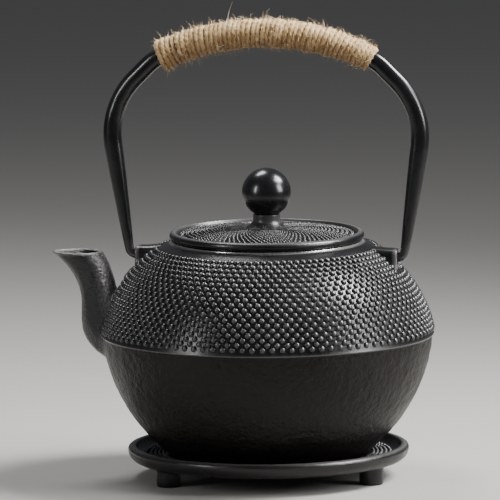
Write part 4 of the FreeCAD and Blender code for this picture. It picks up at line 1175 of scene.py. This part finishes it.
stud_sets = [stud_rings(count, start, end, spacing, lambda radius: PLATE_TOP,
                        lambda radius: (0.0, 1.0), size_share, rise, seed)
             for count, start, end, spacing, size_share, rise, seed in (
                 (OUTER_STUDS, 60.6, 50.6, 0.56, 0.30, 1.1, 31),
                 (INNER_STUDS, 39.5, 9.0, 0.78, 0.38, 0.7, 32))]
plate_stud_points, plate_stud_faces = joined(*[studs[:2] for studs in stud_sets])
make_piece("trivet_studs", plate_stud_points, plate_stud_faces, "stand", trivet_iron,
           crown_rub(np.concatenate([studs[2] for studs in stud_sets])))

foot_profile = (
    [(0.0, 0.0), (3.0, 0.0)] + rounded((3, 0), (FOOT_RADIUS - 0.1, 0), (FOOT_RADIUS, 3), 0.8, 4)
    + line((FOOT_RADIUS, 1.2), (FOOT_RADIUS, UNDERSIDE - 1.6), 5)
    + arc((FOOT_RADIUS, UNDERSIDE - 1.5), (FOOT_RADIUS + 1.5, UNDERSIDE + 0.05), 1.6, -1, 4)
    + [(3.0, UNDERSIDE + 0.3), (0.0, UNDERSIDE + 0.3)])
for name in ("trivet_foot_left", "trivet_foot_right", "trivet_foot_back"):
    low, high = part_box(name)
    middle = (low + high) / 2
    foot_points, foot_faces = turned(foot_profile, 40)
    foot_points = np.array(foot_points) + np.array((middle.x, middle.y, 0))
    foot_points[:, :2] += uneven(foot_points, 0.05 * MM, 3 * MM)[:, :2]
    make_piece(name.replace("trivet", "cast"), foot_points, foot_faces, "stand", trivet_iron,
               {"wear_and_sheen": np.zeros(len(foot_points))}, [name])

# ---------------------------------------------------------------- studio
# A pale floor, one large soft light from the right, a narrow one from the left front and a soft
# light from above and behind.
floor_mesh = bpy.data.meshes.new("floor")
floor_mesh.from_pydata([(-12, -7, 0), (12, -7, 0), (12, 17, 0), (-12, 17, 0)], [], [(0, 1, 2, 3)])
floor = bpy.data.objects.new("floor", floor_mesh)
bpy.context.scene.collection.objects.link(floor)
floor_mesh.materials.append(new_material("floor", (0.36, 0.35, 0.33), 0.75, 0.2)[0])
floor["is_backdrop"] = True

world = bpy.data.worlds.new("studio")
bpy.context.scene.world = world
world.use_nodes = True
room_light = world.node_tree.nodes["Background"]
room_light.inputs["Color"].default_value = (0.9, 0.93, 1.0, 1)
room_light.inputs["Strength"].default_value = 0.14
LIT_HEIGHT = 0.12


def softbox(name, way, away, width, height, power, fan=180):
    """A soft light: its direction right, up and towards the camera, distance, size and power."""
    up_way_now = back_way.cross(right_way)
    direction = (right_way * way[0] + up_way_now * way[1] + back_way * way[2]).normalized()
    lamp = bpy.data.lights.new(name, "AREA")
    lamp.shape, lamp.size, lamp.size_y, lamp.energy = "RECTANGLE", width, height, power
    lamp.spread = math.radians(fan)
    light = bpy.data.objects.new(name, lamp)
    bpy.context.scene.collection.objects.link(light)
    light.location = Vector((0, 0, LIT_HEIGHT)) + direction * away
    light.rotation_euler = direction.to_track_quat("Z", "Y").to_euler()


softbox("key_light", (0.66, 0.75, 0.06), 1.0, 0.42, 0.42, 6.5, 75)
softbox("side_light", (0.88, 0.30, 0.37), 1.0, 0.35, 0.5, 1.7, 75)
softbox("left_light", (-0.78, 0.22, 0.58), 1.1, 0.12, 0.5, 0.5, 60)
softbox("top_light", (-0.25, 0.94, -0.25), 1.0, 0.4, 0.3, 8)

low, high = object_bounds()
